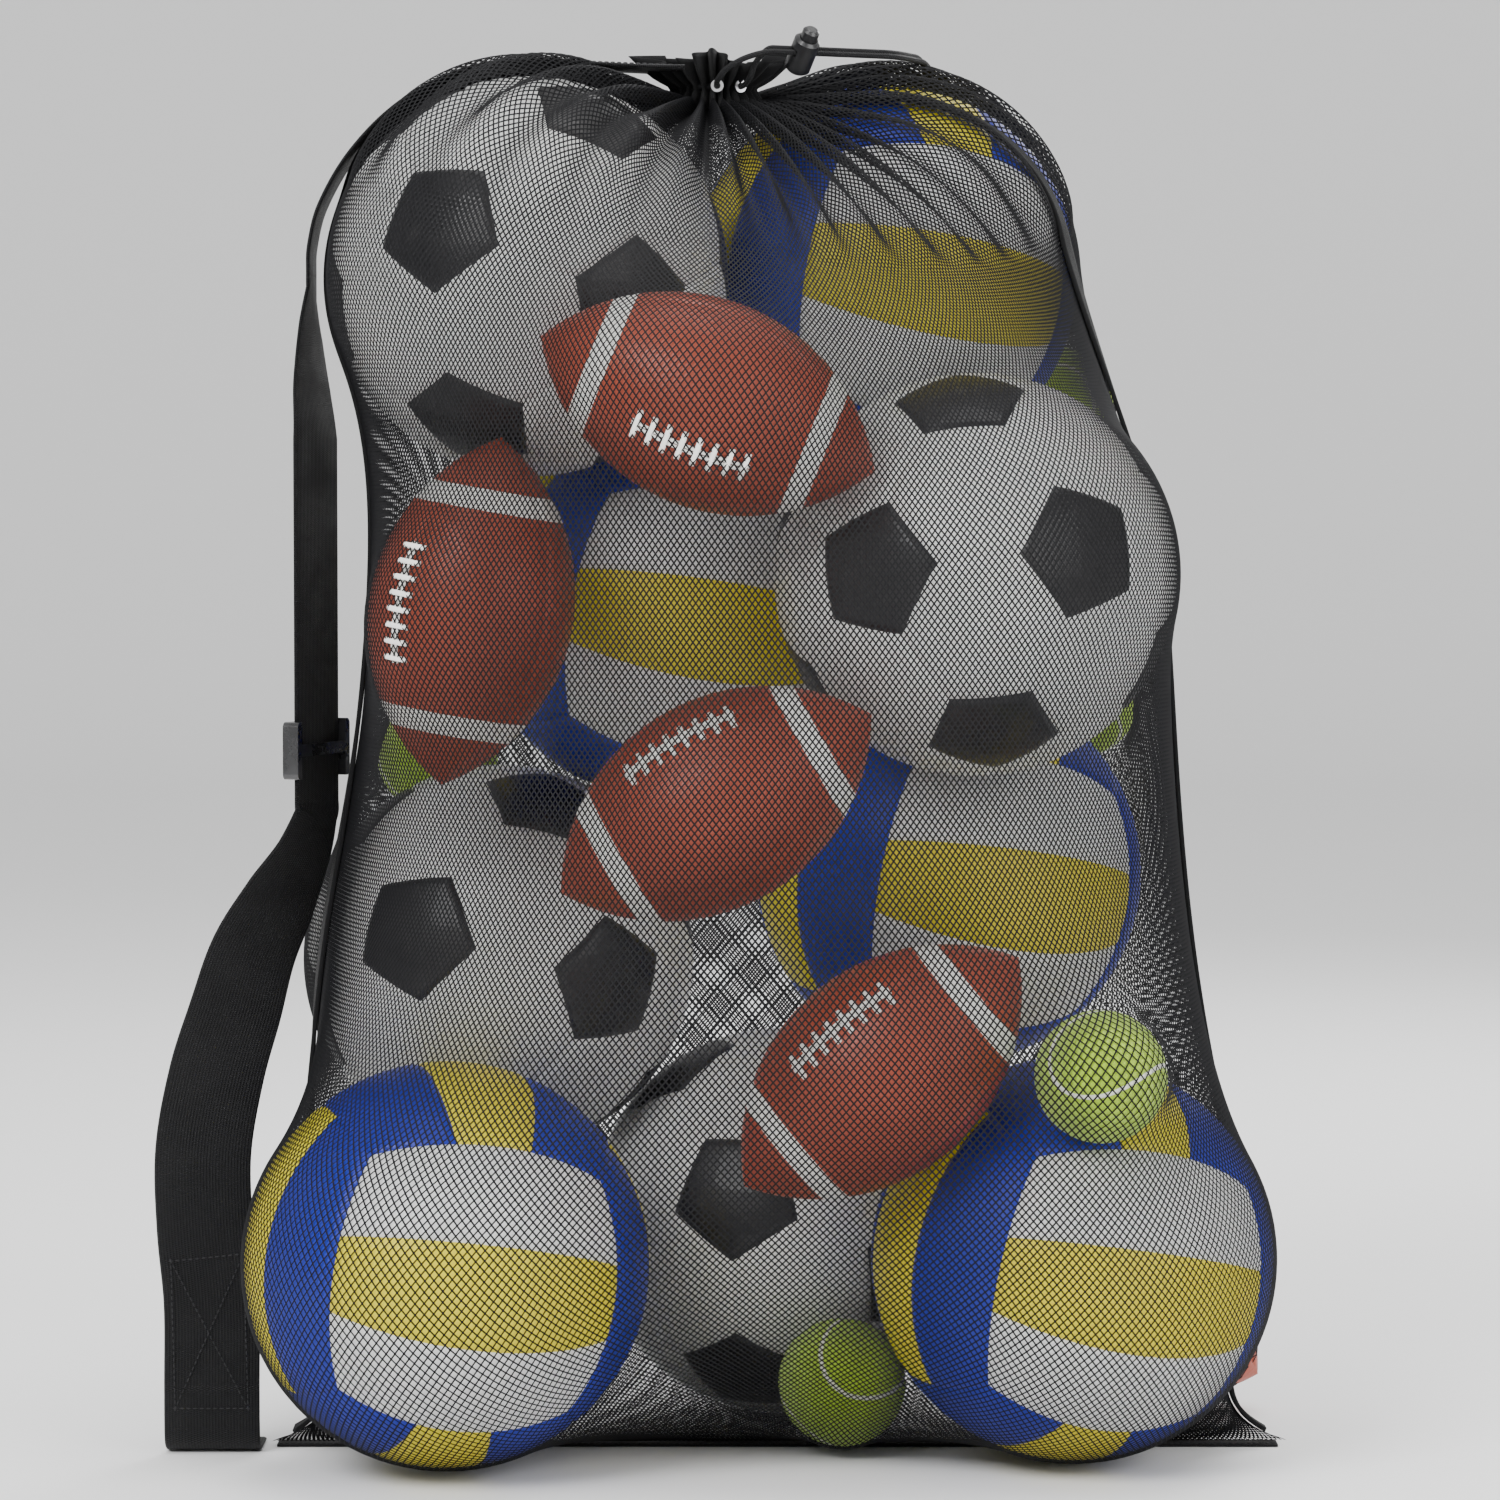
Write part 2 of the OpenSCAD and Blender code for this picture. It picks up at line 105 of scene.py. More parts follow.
WEBBING_W = 50 * MM
WEBBING_T = 2 * MM
TOP_PATH_Y = 12
TOP_PATH = [(-25, 723), (-40, 723), (-72, 724.5), (-106, 726.6), (-140.5, 721.3), (-173, 704.5),
            (-198.5, 679.5),
            (-215, 651.5), (-220.5, 630), (-221, 615)]
UPPER_STOPS = [(-221, 12, 615, 90), (-221, 12, 606, 90), (-221, 8, 586, 82), (-220, 2, 560, 74),
               (-218, -4, 530, 68), (-218, -4, 340, 68)]
LOWER_STOPS = [(-218, -4, 340, 68), (-218, -4, 334, 68), (-225, -8, 312, 58), (-236, -14, 290, 44),
               (-250, -22, 262, 32), (-259, -28, 232, 22), (-268.5, -31, 200, 14), (-275.5, -33, 160, 8),
               (-275, -33, 120, 4), (-272, -30, 80, 0), (-272, -30, 34, 0)]
ANCHOR_X = -272
ANCHOR_PATH = [(-30, 34), (-30, 18), (-28, 7), (-20, 1.8), (-8, 1), (12, 1)]

NET_GAP = 1.6 * MM
NET_CELLS_WIDE = 216
NET_CELLS_HIGH = 207
NET_BANDS = 3
NET_THREAD = 0.85 * MM
DENSE_WITHIN = 26 * MM
OPEN_BEYOND = 78 * MM
NET_RELIEF = 0.35 * MM
FLAT_PANEL = (0.610, 0.914)


# ---------------------------------------------------------------- small geometry helpers

def unit(v):
    v = np.asarray(v, float)
    return v / np.maximum(np.linalg.norm(v, axis=-1, keepdims=True), 1e-12)


def rotation(axis, degrees):
    return np.array(Matrix.Rotation(math.radians(degrees), 3, axis))


def mesh_piece(name, verts, faces, materials, face_material=None, smooth=True, uv=None):
    """A mesh object from arrays. uv is one pair per vertex."""
    mesh = bpy.data.meshes.new(name)
    mesh.from_pydata([tuple(v) for v in np.asarray(verts, float)], [], [tuple(f) for f in faces])
    for material in materials:
        mesh.materials.append(material)
    if face_material is not None:
        mesh.polygons.foreach_set("material_index", np.asarray(face_material, np.int32))
    mesh.polygons.foreach_set("use_smooth", np.full(len(mesh.polygons), smooth))
    if uv is not None:
        layer = mesh.uv_layers.new(name="Cloth")
        corner = np.zeros(len(mesh.loops), np.int32)
        mesh.loops.foreach_get("vertex_index", corner)
        layer.data.foreach_set("uv", np.asarray(uv, np.float32)[corner].ravel())
    mesh.update()
    obj = bpy.data.objects.new(name, mesh)
    bpy.context.collection.objects.link(obj)
    return obj


def grid_faces(rows, columns, wrap=False, start=0):
    """Quads over a grid of rows by columns, numbered row by row."""
    across = columns if wrap else columns - 1
    a = start + (np.arange(rows - 1)[:, None] * columns + np.arange(across)[None, :])
    b = start + (np.arange(rows - 1)[:, None] * columns + (np.arange(across)[None, :] + 1) % columns)
    return np.stack([a, b, b + columns, a + columns], -1).reshape(-1, 4)


def hermite(points, straight_after=None, steps=8):
    """A smooth line through points. The stretch that starts at straight_after stays straight."""
    points = np.asarray(points, float)
    ahead = np.gradient(points, axis=0)
    line = []
    for i in range(len(points) - 1):
        p, q = points[i], points[i + 1]
        span = np.linalg.norm(q - p)
        out, into = unit(ahead[i]) * span, unit(ahead[i + 1]) * span
        if straight_after is not None:
            run = unit(points[straight_after + 1] - points[straight_after])
            if i in (straight_after, straight_after + 1):
                out = run * span
            if i + 1 in (straight_after, straight_after + 1):
                into = run * span
        t = np.linspace(0, 1, steps, endpoint=False)[:, None]
        line.append((2 * t ** 3 - 3 * t ** 2 + 1) * p + (t ** 3 - 2 * t ** 2 + t) * out
                    + (3 * t ** 2 - 2 * t ** 3) * q + (t ** 3 - t ** 2) * into)
    return np.vstack(line + [points[-1:]])


def tube(name, line, r, material, sides=12, flat=None, closed=False):
    """A tube along a line.

    flat is the height of its section where it isn't round, with up the surface's normals.
    """
    line = np.asarray(line, float)
    ahead = unit(np.roll(line, -1, 0) - np.roll(line, 1, 0)) if closed else unit(np.gradient(line, axis=0))
    if flat is None:
        side = np.zeros_like(line)
        side[0] = unit(np.cross(ahead[0], [0.31, 0.52, 0.79]))
        for i in range(1, len(line)):
            side[i] = unit(side[i - 1] - ahead[i] * np.dot(side[i - 1], ahead[i]))
        up, height = np.cross(ahead, side), r
    else:
        up, height = unit(flat[0]), flat[1]
        side = unit(np.cross(up, ahead))
        up = np.cross(ahead, side)
    turn = np.linspace(0, 2 * math.pi, sides, endpoint=False)
    ring = (line[:, None] + np.cos(turn)[None, :, None] * side[:, None] * r
            + np.sin(turn)[None, :, None] * up[:, None] * height)
    verts = ring.reshape(-1, 3)
    rows = len(line)
    along = np.concatenate([[0], np.cumsum(np.linalg.norm(np.diff(line, axis=0), axis=1))])
    uv = np.stack([np.tile(turn / (2 * math.pi), rows), np.repeat(along, sides)], -1)
    faces = [tuple(f) for f in grid_faces(rows, sides, wrap=True)]
    if closed:
        last = (rows - 1) * sides
        faces += [(last + k, last + (k + 1) % sides, (k + 1) % sides, k) for k in range(sides)]
    else:
        faces.append(tuple(range(sides))[::-1])
        faces.append(tuple((rows - 1) * sides + k for k in range(sides)))
    return mesh_piece(name, verts, faces, [material], uv=uv)


def joined(name, objects):
    """One piece out of several, keeping their materials."""
    with bpy.context.temp_override(active_object=objects[0], selected_editable_objects=objects):
        bpy.ops.object.join()
    objects[0].name = name
    return objects[0]


def stands_for(obj, nodes, body="bag"):
    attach(obj, body)
    if nodes:
        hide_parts(*nodes)
    return obj


# ---------------------------------------------------------------- camera, floor and light

def set_camera():
    camera = bpy.data.objects.new("camera", bpy.data.cameras.new("camera"))
    bpy.context.collection.objects.link(camera)
    camera.data.lens = 135
    camera.data.sensor_width = 36
    camera.data.clip_end = 50
    look_at = Vector((9 * MM, 0, 367 * MM))
    distance = 2.95
    angle = math.radians(CAMERA_ELEVATION)
    camera.location = look_at + Vector((0, -distance * math.cos(angle), distance * math.sin(angle)))
    camera.rotation_euler = (look_at - camera.location).to_track_quat("-Z", "Y").to_euler()
    bpy.context.scene.camera = camera


def area_light(name, place, power, size, aim=(0, 0, 0.35)):
    light = bpy.data.objects.new(name, bpy.data.lights.new(name, "AREA"))
    light.data.energy = power
    light.data.size = size
    light.location = place
    light.rotation_euler = (Vector(aim) - Vector(place)).to_track_quat("-Z", "Y").to_euler()
    bpy.context.collection.objects.link(light)


def set_stage():
    """A pale floor that turns up into a low wall all the way round, well outside the camera."""
    flat_r, curve_r, height, around = 6.0, 1.5, 4.5, 72
    bend = np.linspace(0, math.pi / 2, 13)
    profile = [(flat_r * k / 4, 0.0) for k in range(1, 4)]
    profile += [(flat_r + curve_r * math.sin(a), curve_r * (1 - math.cos(a))) for a in bend]
    profile.append((flat_r + curve_r, height))
    turn = np.linspace(0, 2 * math.pi, around, endpoint=False)
    verts = [(0, 0, -0.0002)]
    verts += [(r * math.cos(t), r * math.sin(t), z - 0.0002) for r, z in profile for t in turn]
    faces = [(0, 1 + k, 1 + (k + 1) % around) for k in range(around)]
    faces += [tuple(f[::-1]) for f in grid_faces(len(profile), around, wrap=True, start=1)]
    floor = mesh_piece("studio_floor", verts, faces, [plain_material("floor_paper", (0.9, 0.9, 0.9), 0.9)])
    area_light("key_light", (-1.6, -2.6, 2.3), 125, 1.6)
    area_light("fill_light", (2.2, -2.2, 1.3), 62, 1.8)
    area_light("top_light", (0.2, -0.1, 2.9), 45, 1.6)
    area_light("rim_light", (0.9, 1.9, 1.7), 30, 1.2)
    world = bpy.data.worlds.new("studio")
    world.use_nodes = True
    world.node_tree.nodes["Background"].inputs["Color"].default_value = (1, 1, 1, 1)
    world.node_tree.nodes["Background"].inputs["Strength"].default_value = 0.85
    bpy.context.scene.world = world


# ---------------------------------------------------------------- materials

def plain_material(name, colour, roughness, metallic=0.0, coat=0.0, specular=0.5):
    material = bpy.data.materials.new(name)
    material.use_nodes = True
    shader = material.node_tree.nodes["Principled BSDF"]
    shader.inputs["Base Color"].default_value = (*colour, 1)
    shader.inputs["Roughness"].default_value = roughness
    shader.inputs["Metallic"].default_value = metallic
    shader.inputs["Coat Weight"].default_value = coat
    shader.inputs["Specular IOR Level"].default_value = specular
    return material


def shader_group(name, inputs):
    """An empty shader group with a Height output, and its input and output nodes."""
    group = bpy.data.node_groups.new(name, "ShaderNodeTree")
    for label, kind, value in inputs:
        socket = group.interface.new_socket(label, in_out="INPUT", socket_type=kind)
        socket.default_value = value
    group.interface.new_socket("Height", in_out="OUTPUT", socket_type="NodeSocketFloat")
    return group, group.nodes.new("NodeGroupInput"), group.nodes.new("NodeGroupOutput")


def math_node(nodes, links, operation, a, b=None):
    node = nodes.new("ShaderNodeMath")
    node.operation = operation
    for socket, value in zip(node.inputs, (a, b)):
        if value is None:
            continue
        if isinstance(value, (int, float)):
            socket.default_value = value
        else:
            links.new(value, socket)
    return node.outputs[0]


def weave_group():
    """Over and under threads on a UV map laid out in metres: how high the cloth is at each place."""
    group, into, out = shader_group("woven threads", [
        ("Thread Width", "NodeSocketFloat", 1.2 * MM), ("Thread Pitch", "NodeSocketFloat", 0.9 * MM)])
    nodes, links = group.nodes, group.links
    uv = nodes.new("ShaderNodeUVMap")
    uv.uv_map = "Cloth"
    split = nodes.new("ShaderNodeSeparateXYZ")
    links.new(uv.outputs[0], split.inputs[0])
    across = math_node(nodes, links, "DIVIDE", split.outputs[0], into.outputs[0])
    along = math_node(nodes, links, "DIVIDE", split.outputs[1], into.outputs[1])
    column = math_node(nodes, links, "FLOOR", across)
    shifted = math_node(nodes, links, "ADD", along, math_node(nodes, links, "MULTIPLY", column, 0.5))
    rib = math_node(nodes, links, "ABSOLUTE",
                    math_node(nodes, links, "SINE", math_node(nodes, links, "MULTIPLY", across, math.pi)))
    pick = math_node(nodes, links, "ABSOLUTE",
                     math_node(nodes, links, "SINE", math_node(nodes, links, "MULTIPLY", shifted, math.pi)))
    links.new(math_node(nodes, links, "MULTIPLY", rib, pick), out.inputs[0])
    return group


def grain_group():
    """Pebbled leather and felt: rounded cells and fine noise on object coordinates."""
    group, into, out = shader_group("pebble grain", [
        ("Scale", "NodeSocketFloat", 600.0), ("Fine", "NodeSocketFloat", 0.3)])
    nodes, links = group.nodes, group.links
    coordinates = nodes.new("ShaderNodeTexCoord")
    cells = nodes.new("ShaderNodeTexVoronoi")
    cells.feature = "SMOOTH_F1"
    links.new(coordinates.outputs["Object"], cells.inputs["Vector"])
    links.new(into.outputs[0], cells.inputs["Scale"])
    noise = nodes.new("ShaderNodeTexNoise")
    noise.inputs["Detail"].default_value = 4
    links.new(coordinates.outputs["Object"], noise.inputs["Vector"])
    links.new(math_node(nodes, links, "MULTIPLY", into.outputs[0], 2.3), noise.inputs["Scale"])
    fine = math_node(nodes, links, "MULTIPLY", noise.outputs[0], into.outputs[1])
    links.new(math_node(nodes, links, "SUBTRACT", fine, cells.outputs["Distance"]), out.inputs[0])
    return group


def with_bump(material, group, values, distance, strength=1.0):
    nodes, links = material.node_tree.nodes, material.node_tree.links
    node = nodes.new("ShaderNodeGroup")
    node.node_tree = group
    for label, value in values.items():
        node.inputs[label].default_value = value
    bump = nodes.new("ShaderNodeBump")
    bump.inputs["Distance"].default_value = distance
    bump.inputs["Strength"].default_value = strength
    links.new(node.outputs["Height"], bump.inputs["Height"])
    links.new(bump.outputs["Normal"], nodes["Principled BSDF"].inputs["Normal"])
    return material


def scuff_group():
    """Handling marks: a colour that drifts in broad patches and is worn in small ones, and the roughness."""
    group = bpy.data.node_groups.new("scuffs and soiling", "ShaderNodeTree")
    for label, kind, value in (("Clean", "NodeSocketColor", (0.8, 0.8, 0.8, 1)),
                               ("Soiled", "NodeSocketColor", (0.4, 0.38, 0.34, 1)),
                               ("Amount", "NodeSocketFloat", 0.3), ("Patch Scale", "NodeSocketFloat", 14.0),
                               ("Mark Scale", "NodeSocketFloat", 90.0),
                               ("Roughness", "NodeSocketFloat", 0.4)):
        group.interface.new_socket(label, in_out="INPUT", socket_type=kind).default_value = value
    group.interface.new_socket("Color", in_out="OUTPUT", socket_type="NodeSocketColor")
    group.interface.new_socket("Roughness", in_out="OUTPUT", socket_type="NodeSocketFloat")
    nodes, links = group.nodes, group.links
    into, out = nodes.new("NodeGroupInput"), nodes.new("NodeGroupOutput")
    coordinates = nodes.new("ShaderNodeTexCoord")
    layers = []
    for scale_input, low, high in ((3, 0.42, 0.75), (4, 0.58, 0.72)):
        noise = nodes.new("ShaderNodeTexNoise")
        noise.inputs["Detail"].default_value = 5
        links.new(coordinates.outputs["Object"], noise.inputs["Vector"])
        links.new(into.outputs[scale_input], noise.inputs["Scale"])
        spread = nodes.new("ShaderNodeMapRange")
        spread.inputs["From Min"].default_value = low
        spread.inputs["From Max"].default_value = high
        links.new(noise.outputs[0], spread.inputs[0])
        layers.append(spread.outputs[0])
    both = math_node(nodes, links, "MAXIMUM", layers[0], math_node(nodes, links, "MULTIPLY", layers[1], 0.6))
    amount = math_node(nodes, links, "MULTIPLY", both, into.outputs[2])
    mix = nodes.new("ShaderNodeMix")
    mix.data_type = "RGBA"
    links.new(amount, mix.inputs["Factor"])
    links.new(into.outputs[0], mix.inputs[6])
    links.new(into.outputs[1], mix.inputs[7])
    links.new(mix.outputs[2], out.inputs[0])
    rougher = math_node(nodes, links, "MULTIPLY", amount, 0.5)
    links.new(math_node(nodes, links, "ADD", into.outputs[5], rougher), out.inputs[1])
    return group


def with_scuffs(material, soiled, amount, patch=14.0, mark=90.0):
    nodes, links = material.node_tree.nodes, material.node_tree.links
    shader = nodes["Principled BSDF"]
    node = nodes.new("ShaderNodeGroup")
    node.node_tree = SCUFFS
    node.inputs["Clean"].default_value = tuple(shader.inputs["Base Color"].default_value)
    node.inputs["Soiled"].default_value = (*soiled, 1)
    node.inputs["Amount"].default_value = amount
    node.inputs["Patch Scale"].default_value = patch
    node.inputs["Mark Scale"].default_value = mark
    node.inputs["Roughness"].default_value = shader.inputs["Roughness"].default_value
    links.new(node.outputs["Color"], shader.inputs["Base Color"])
    links.new(node.outputs["Roughness"], shader.inputs["Roughness"])
    return material


WEAVE = weave_group()
GRAIN = grain_group()
SCUFFS = scuff_group()


def ball_cover(name, colour, roughness, soiled, amount, grain, depth, coat=0.0):
    """Moulded or stitched cover material: its grain, and the soiling it has picked up in play."""
    cover = plain_material(name, colour, roughness, coat=coat, specular=0.4)
    return with_scuffs(with_bump(cover, GRAIN, {"Scale": grain, "Fine": 0.3}, depth, 0.7), soiled, amount)


def black_cloth(name, grey, roughness, thread_width, thread_pitch, depth):
    """Woven black polyester, faintly faded."""
    cloth = plain_material(name, (grey, grey, grey * 1.1), roughness, specular=0.15)
    cloth.node_tree.nodes["Principled BSDF"].inputs["Sheen Weight"].default_value = 0.05
    cloth.node_tree.nodes["Principled BSDF"].inputs["Sheen Roughness"].default_value = 0.5
    with_bump(cloth, WEAVE, {"Thread Width": thread_width, "Thread Pitch": thread_pitch}, depth)
    return with_scuffs(cloth, (grey * 2.6, grey * 2.6, grey * 2.7), 0.5, patch=40.0, mark=260.0)


net_black = plain_material("net_black", (0.008, 0.008, 0.009), 0.6, specular=0.12)
webbing_black = black_cloth("webbing_black", 0.007, 0.6, 1.6 * MM, 1.1 * MM, 0.5 * MM)
tape_black = black_cloth("tape_black", 0.006, 0.75, 0.8 * MM, 0.6 * MM, 0.25 * MM)
cord_black = black_cloth("cord_black", 0.007, 0.65, 1 / 8, 1.5 * MM, 0.3 * MM)
thread_black = plain_material("thread_black", (0.02, 0.02, 0.022), 0.6, specular=0.3)
lock_black = with_scuffs(plain_material("lock_black", (0.008, 0.008, 0.009), 0.32, coat=0.15),
                         (0.05, 0.05, 0.05),
                         0.35, patch=120.0, mark=700.0)
slider_black = with_scuffs(plain_material("slider_black", (0.008, 0.008, 0.009), 0.25, coat=0.5),
                           (0.05, 0.05, 0.052), 0.35, patch=80.0, mark=500.0)
bright_steel = with_scuffs(plain_material("bright_steel", (0.7, 0.7, 0.72), 0.28, metallic=1.0),
                           (0.3, 0.29, 0.27),
                           0.4, patch=300.0, mark=900.0)
ball_white = ball_cover("ball_white", (0.86, 0.86, 0.85), 0.36, (0.5, 0.48, 0.43), 0.22, 900.0,
                        0.08 * MM, 0.15)
ball_black = ball_cover("ball_black", (0.012, 0.012, 0.014), 0.36, (0.09, 0.085, 0.08), 0.35, 900.0,
                        0.08 * MM, 0.15)
volley_blue = ball_cover("volley_blue", (0.008, 0.022, 0.42), 0.42, (0.05, 0.07, 0.3), 0.35, 700.0, 0.1 * MM)
volley_yellow = ball_cover("volley_yellow", (0.86, 0.74, 0.01), 0.42, (0.5, 0.42, 0.08), 0.3, 700.0, 0.1 * MM)
volley_white = ball_cover("volley_white", (0.86, 0.86, 0.86), 0.42, (0.5, 0.48, 0.44), 0.22, 700.0, 0.1 * MM)
football_brown = ball_cover("football_brown", (0.34, 0.062, 0.03), 0.42, (0.15, 0.03, 0.016), 0.5,
                            420.0, 0.3 * MM)
football_white = ball_cover("football_white", (0.84, 0.83, 0.8), 0.45, (0.45, 0.4, 0.34), 0.35, 420.0,
                            0.25 * MM)
lace_white = ball_cover("lace_white", (0.86, 0.85, 0.81), 0.65, (0.5, 0.46, 0.4), 0.4, 1500.0, 0.15 * MM)
felt_green = plain_material("felt_green", (0.46, 0.72, 0.005), 0.95, specular=0.1)
felt_green.node_tree.nodes["Principled BSDF"].inputs["Sheen Weight"].default_value = 0.5
with_bump(felt_green, GRAIN, {"Scale": 1100.0, "Fine": 1.6}, 0.7 * MM)
with_scuffs(felt_green, (0.26, 0.4, 0.02), 0.5, patch=60.0, mark=500.0)
seam_rubber = ball_cover("seam_rubber", (0.74, 0.75, 0.68), 0.6, (0.45, 0.45, 0.4), 0.3, 1500.0, 0.1 * MM)

set_camera()
set_stage()


# ---------------------------------------------------------------- drawcord

def out_of_eyelet(angle):
    turn = math.radians(angle)
    return [NECK / MM + np.array([r * math.cos(turn), r * math.sin(turn), EYELET_HEIGHT])
            for r in (CORD_START_RADIUS, EYELET_OUT_RADIUS)]


def drawcord():
    """Both strands from their eyelets through the lock and down the back, and the knot at their ends."""
    run = np.array([math.cos(CORD_YAW), math.sin(CORD_YAW), 0])
    aside = np.array([-math.sin(CORD_YAW) * math.cos(LOCK_TILT), math.cos(CORD_YAW) * math.cos(LOCK_TILT),
                      math.sin(LOCK_TILT)]) * STRAND_SPACING / MM
    start = np.array(STRAIGHT_START, float)
    shared = np.array([start, start + STRAIGHT_LEN * run] + [np.array(p, float) for p in TAIL])
    apart = np.array([aside, aside] + [TAIL_STEPS[min(i, len(TAIL_STEPS) - 1)] for i in range(len(TAIL))])
    strands = []
    for letter, angle, rise, shift in (("a", EYELET_ANGLES[0], RISE_A, 0 * apart),
                                       ("b", EYELET_ANGLES[1], RISE_B, apart)):
        points = np.vstack([out_of_eyelet(angle), np.array(rise, float), shared + shift])
        line = hermite(points, straight_after=2 + len(rise), steps=6) * MM
        strand = tube(f"drawcord_{letter}", line, CORD_D / 2, cord_black)
        strands.append((strand, line, f"drawcord_strand_{letter}"))
    end = (strands[0][1][-1] + strands[1][1][-1]) / 2
    turn = np.linspace(0, 2 * math.pi, 90, endpoint=False)
    knot_line = end + MM * np.stack([1.5 * (np.sin(turn) + 2 * np.sin(2 * turn)),
                                     1.5 * (np.cos(turn) - 2 * np.cos(2 * turn)),
                                     -6.5 - 3.4 * np.sin(3 * turn)], -1)
    knot = tube("cord_end_knot", knot_line, CORD_D * 0.46, cord_black, closed=True)
    stands_for(knot, ["drawcord_knot"])
    for strand, line, node in strands:
        stands_for(strand, [node])


drawcord()


# ---------------------------------------------------------------- balls

def icosahedron():
    golden = (1 + math.sqrt(5)) / 2
    corners = [(0, s, t * golden) for s in (-1, 1) for t in (-1, 1)]
    turned = [(z, x, y) for x, y, z in corners] + [(y, z, x) for x, y, z in corners]
    corners = np.array(corners + turned, float)
    near = np.linalg.norm(corners[:, None] - corners[None], axis=-1)
    pairs = (near > 0.1) & (near < 2.1)
    faces = [(a, b, c) for a in range(12) for b in range(a + 1, 12) for c in range(b + 1, 12)
             if pairs[a, b] and pairs[b, c] and pairs[a, c]]
    return corners, pairs, faces


def around(middle, points):
    """Points sorted anticlockwise round a middle, seen from outside."""
    out = unit(middle)
    right = unit(np.cross(out, [0.2, 0.3, 0.93]))
    up = np.cross(out, right)
    turn = np.arctan2(points @ up, points @ right)
    return points[np.argsort(turn)]


def soccer_panels():
    """The middle and corners of each panel of the ball, with whether it is a pentagon."""
    corners, pairs, faces = icosahedron()
    for a in range(12):
        ring = np.array([corners[a] * 2 / 3 + corners[b] / 3 for b in range(12) if pairs[a, b]])
        yield ring.mean(0), around(ring.mean(0), ring), True
    for face in faces:
        ring = np.array([corners[a] * 2 / 3 + corners[b] / 3 for a in face for b in face if a != b])
        yield ring.mean(0), around(ring.mean(0), ring), False


SEAM_DEPTH = 1.3 * MM
SEAM_WIDTH = 1.5 * MM


def seam_drop(distance):
    return SEAM_DEPTH * np.exp(-(distance / SEAM_WIDTH) ** 2)


def soccer_ball(name, pentagon_faces, spin):
    """A ball of 12 pentagons and 20 hexagons. One pentagon faces the direction given."""
    corners, _, _ = icosahedron()
    first = unit(corners[0])
    turn = np.array(Vector(first).rotation_difference(Vector(unit(pentagon_faces))).to_matrix())
    turn = np.array(Matrix.Rotation(math.radians(spin), 3, Vector(unit(pentagon_faces)))) @ turn
    rings, per_side, verts, faces, dark = 10, 8, [], [], []
    for middle, ring, is_pentagon in soccer_panels():
        start, sides = sum(len(v) for v in verts), len(ring)
        edge = np.concatenate([ring[k] + (ring[(k + 1) % sides] - ring[k]) * np.linspace(0, 1, per_side,
                               endpoint=False)[:, None] for k in range(sides)])
        share = 1 - (1 - np.arange(1, rings + 1) / rings) ** 2
        points = middle + share[:, None, None] * (edge - middle)[None]
        scale = BIG_R / np.linalg.norm(edge, axis=1).max()
        inset = (1 - share) * np.linalg.norm((ring[0] + ring[1]) / 2 - middle) * scale
        radius = (BIG_R - 0.3 * MM - seam_drop(inset))[:, None, None]
        verts.append(np.vstack([unit(middle)[None] * (BIG_R - 0.3 * MM),
                                (unit(points) * radius).reshape(-1, 3)]))
        columns = sides * per_side
        new = [(start, start + 1 + k, start + 1 + (k + 1) % columns) for k in range(columns)]
        new += [tuple(f) for f in grid_faces(rings, columns, wrap=True, start=start + 1)[:, [0, 3, 2, 1]]]
        faces += new
        dark += [int(is_pentagon)] * len(new)
    verts = np.vstack(verts) @ turn.T + place_of(name)
    ball = mesh_piece(name + "_cover", verts, faces, [ball_white, ball_black], dark)
    return stands_for(ball, [name])


VOLLEY_FACES = [  # outward direction, the way the strips are stacked, colours of the three strips
    ((0, -1, 0), (0, 0, 1), (2, 1, 2)), ((0, 1, 0), (0, 0, 1), (2, 1, 2)),
    ((-1, 0, 0), (0, 1, 0), (0, 1, 0)), ((1, 0, 0), (0, 1, 0), (0, 1, 0)),
    ((0, 0, -1), (1, 0, 0), (0, 1, 0)), ((0, 0, 1), (1, 0, 0), (0, 1, 0))]


def volleyball(name, yaw, tilt, roll):
    """A ball of 18 strips, three to each of six sides, turned from facing the front."""
    turn = rotation("Z", yaw) @ rotation("X", tilt) @ rotation("Y", roll)
    long_steps, cross_steps = 30, 14
    verts, faces, paint = [], [], []
    for out, stack, colours in VOLLEY_FACES:
        out, stack = np.array(out, float), np.array(stack, float)
        along = np.cross(stack, out)
        for strip, colour in enumerate(colours):
            a = -np.cos(np.linspace(0, math.pi, long_steps))[:, None]
            b = -np.cos(np.linspace(0, math.pi, cross_steps))[None, :]
            middle, half = (strip - 1) * 2 / 3, 1 / 3
            u, v = a + 0 * b, middle + half * b + 0 * a
            points = (out + np.tan(u * math.pi / 4)[..., None] * along
                      + np.tan(v * math.pi / 4)[..., None] * stack)
            edge = np.minimum((1 - np.abs(u)), (half - np.abs(v - middle))) * BIG_R * math.pi / 4
            points = unit(points) * (BIG_R - 0.3 * MM - seam_drop(edge))[..., None]
            start = sum(len(p) for p in verts)
            verts.append(points.reshape(-1, 3))
            new = grid_faces(long_steps, cross_steps, start=start)
            faces += [tuple(f[::-1]) for f in new]
            paint += [colour] * len(new)
    verts = np.vstack(verts) @ turn.T + place_of(name)
    ball = mesh_piece(name + "_cover", verts, faces, [volley_blue, volley_yellow, volley_white], paint)
    return stands_for(ball, [name])


def football_radius(t):
    return np.sqrt(FOOTBALL_ARC_R ** 2 - t ** 2) - (FOOTBALL_ARC_R - FOOTBALL_R)


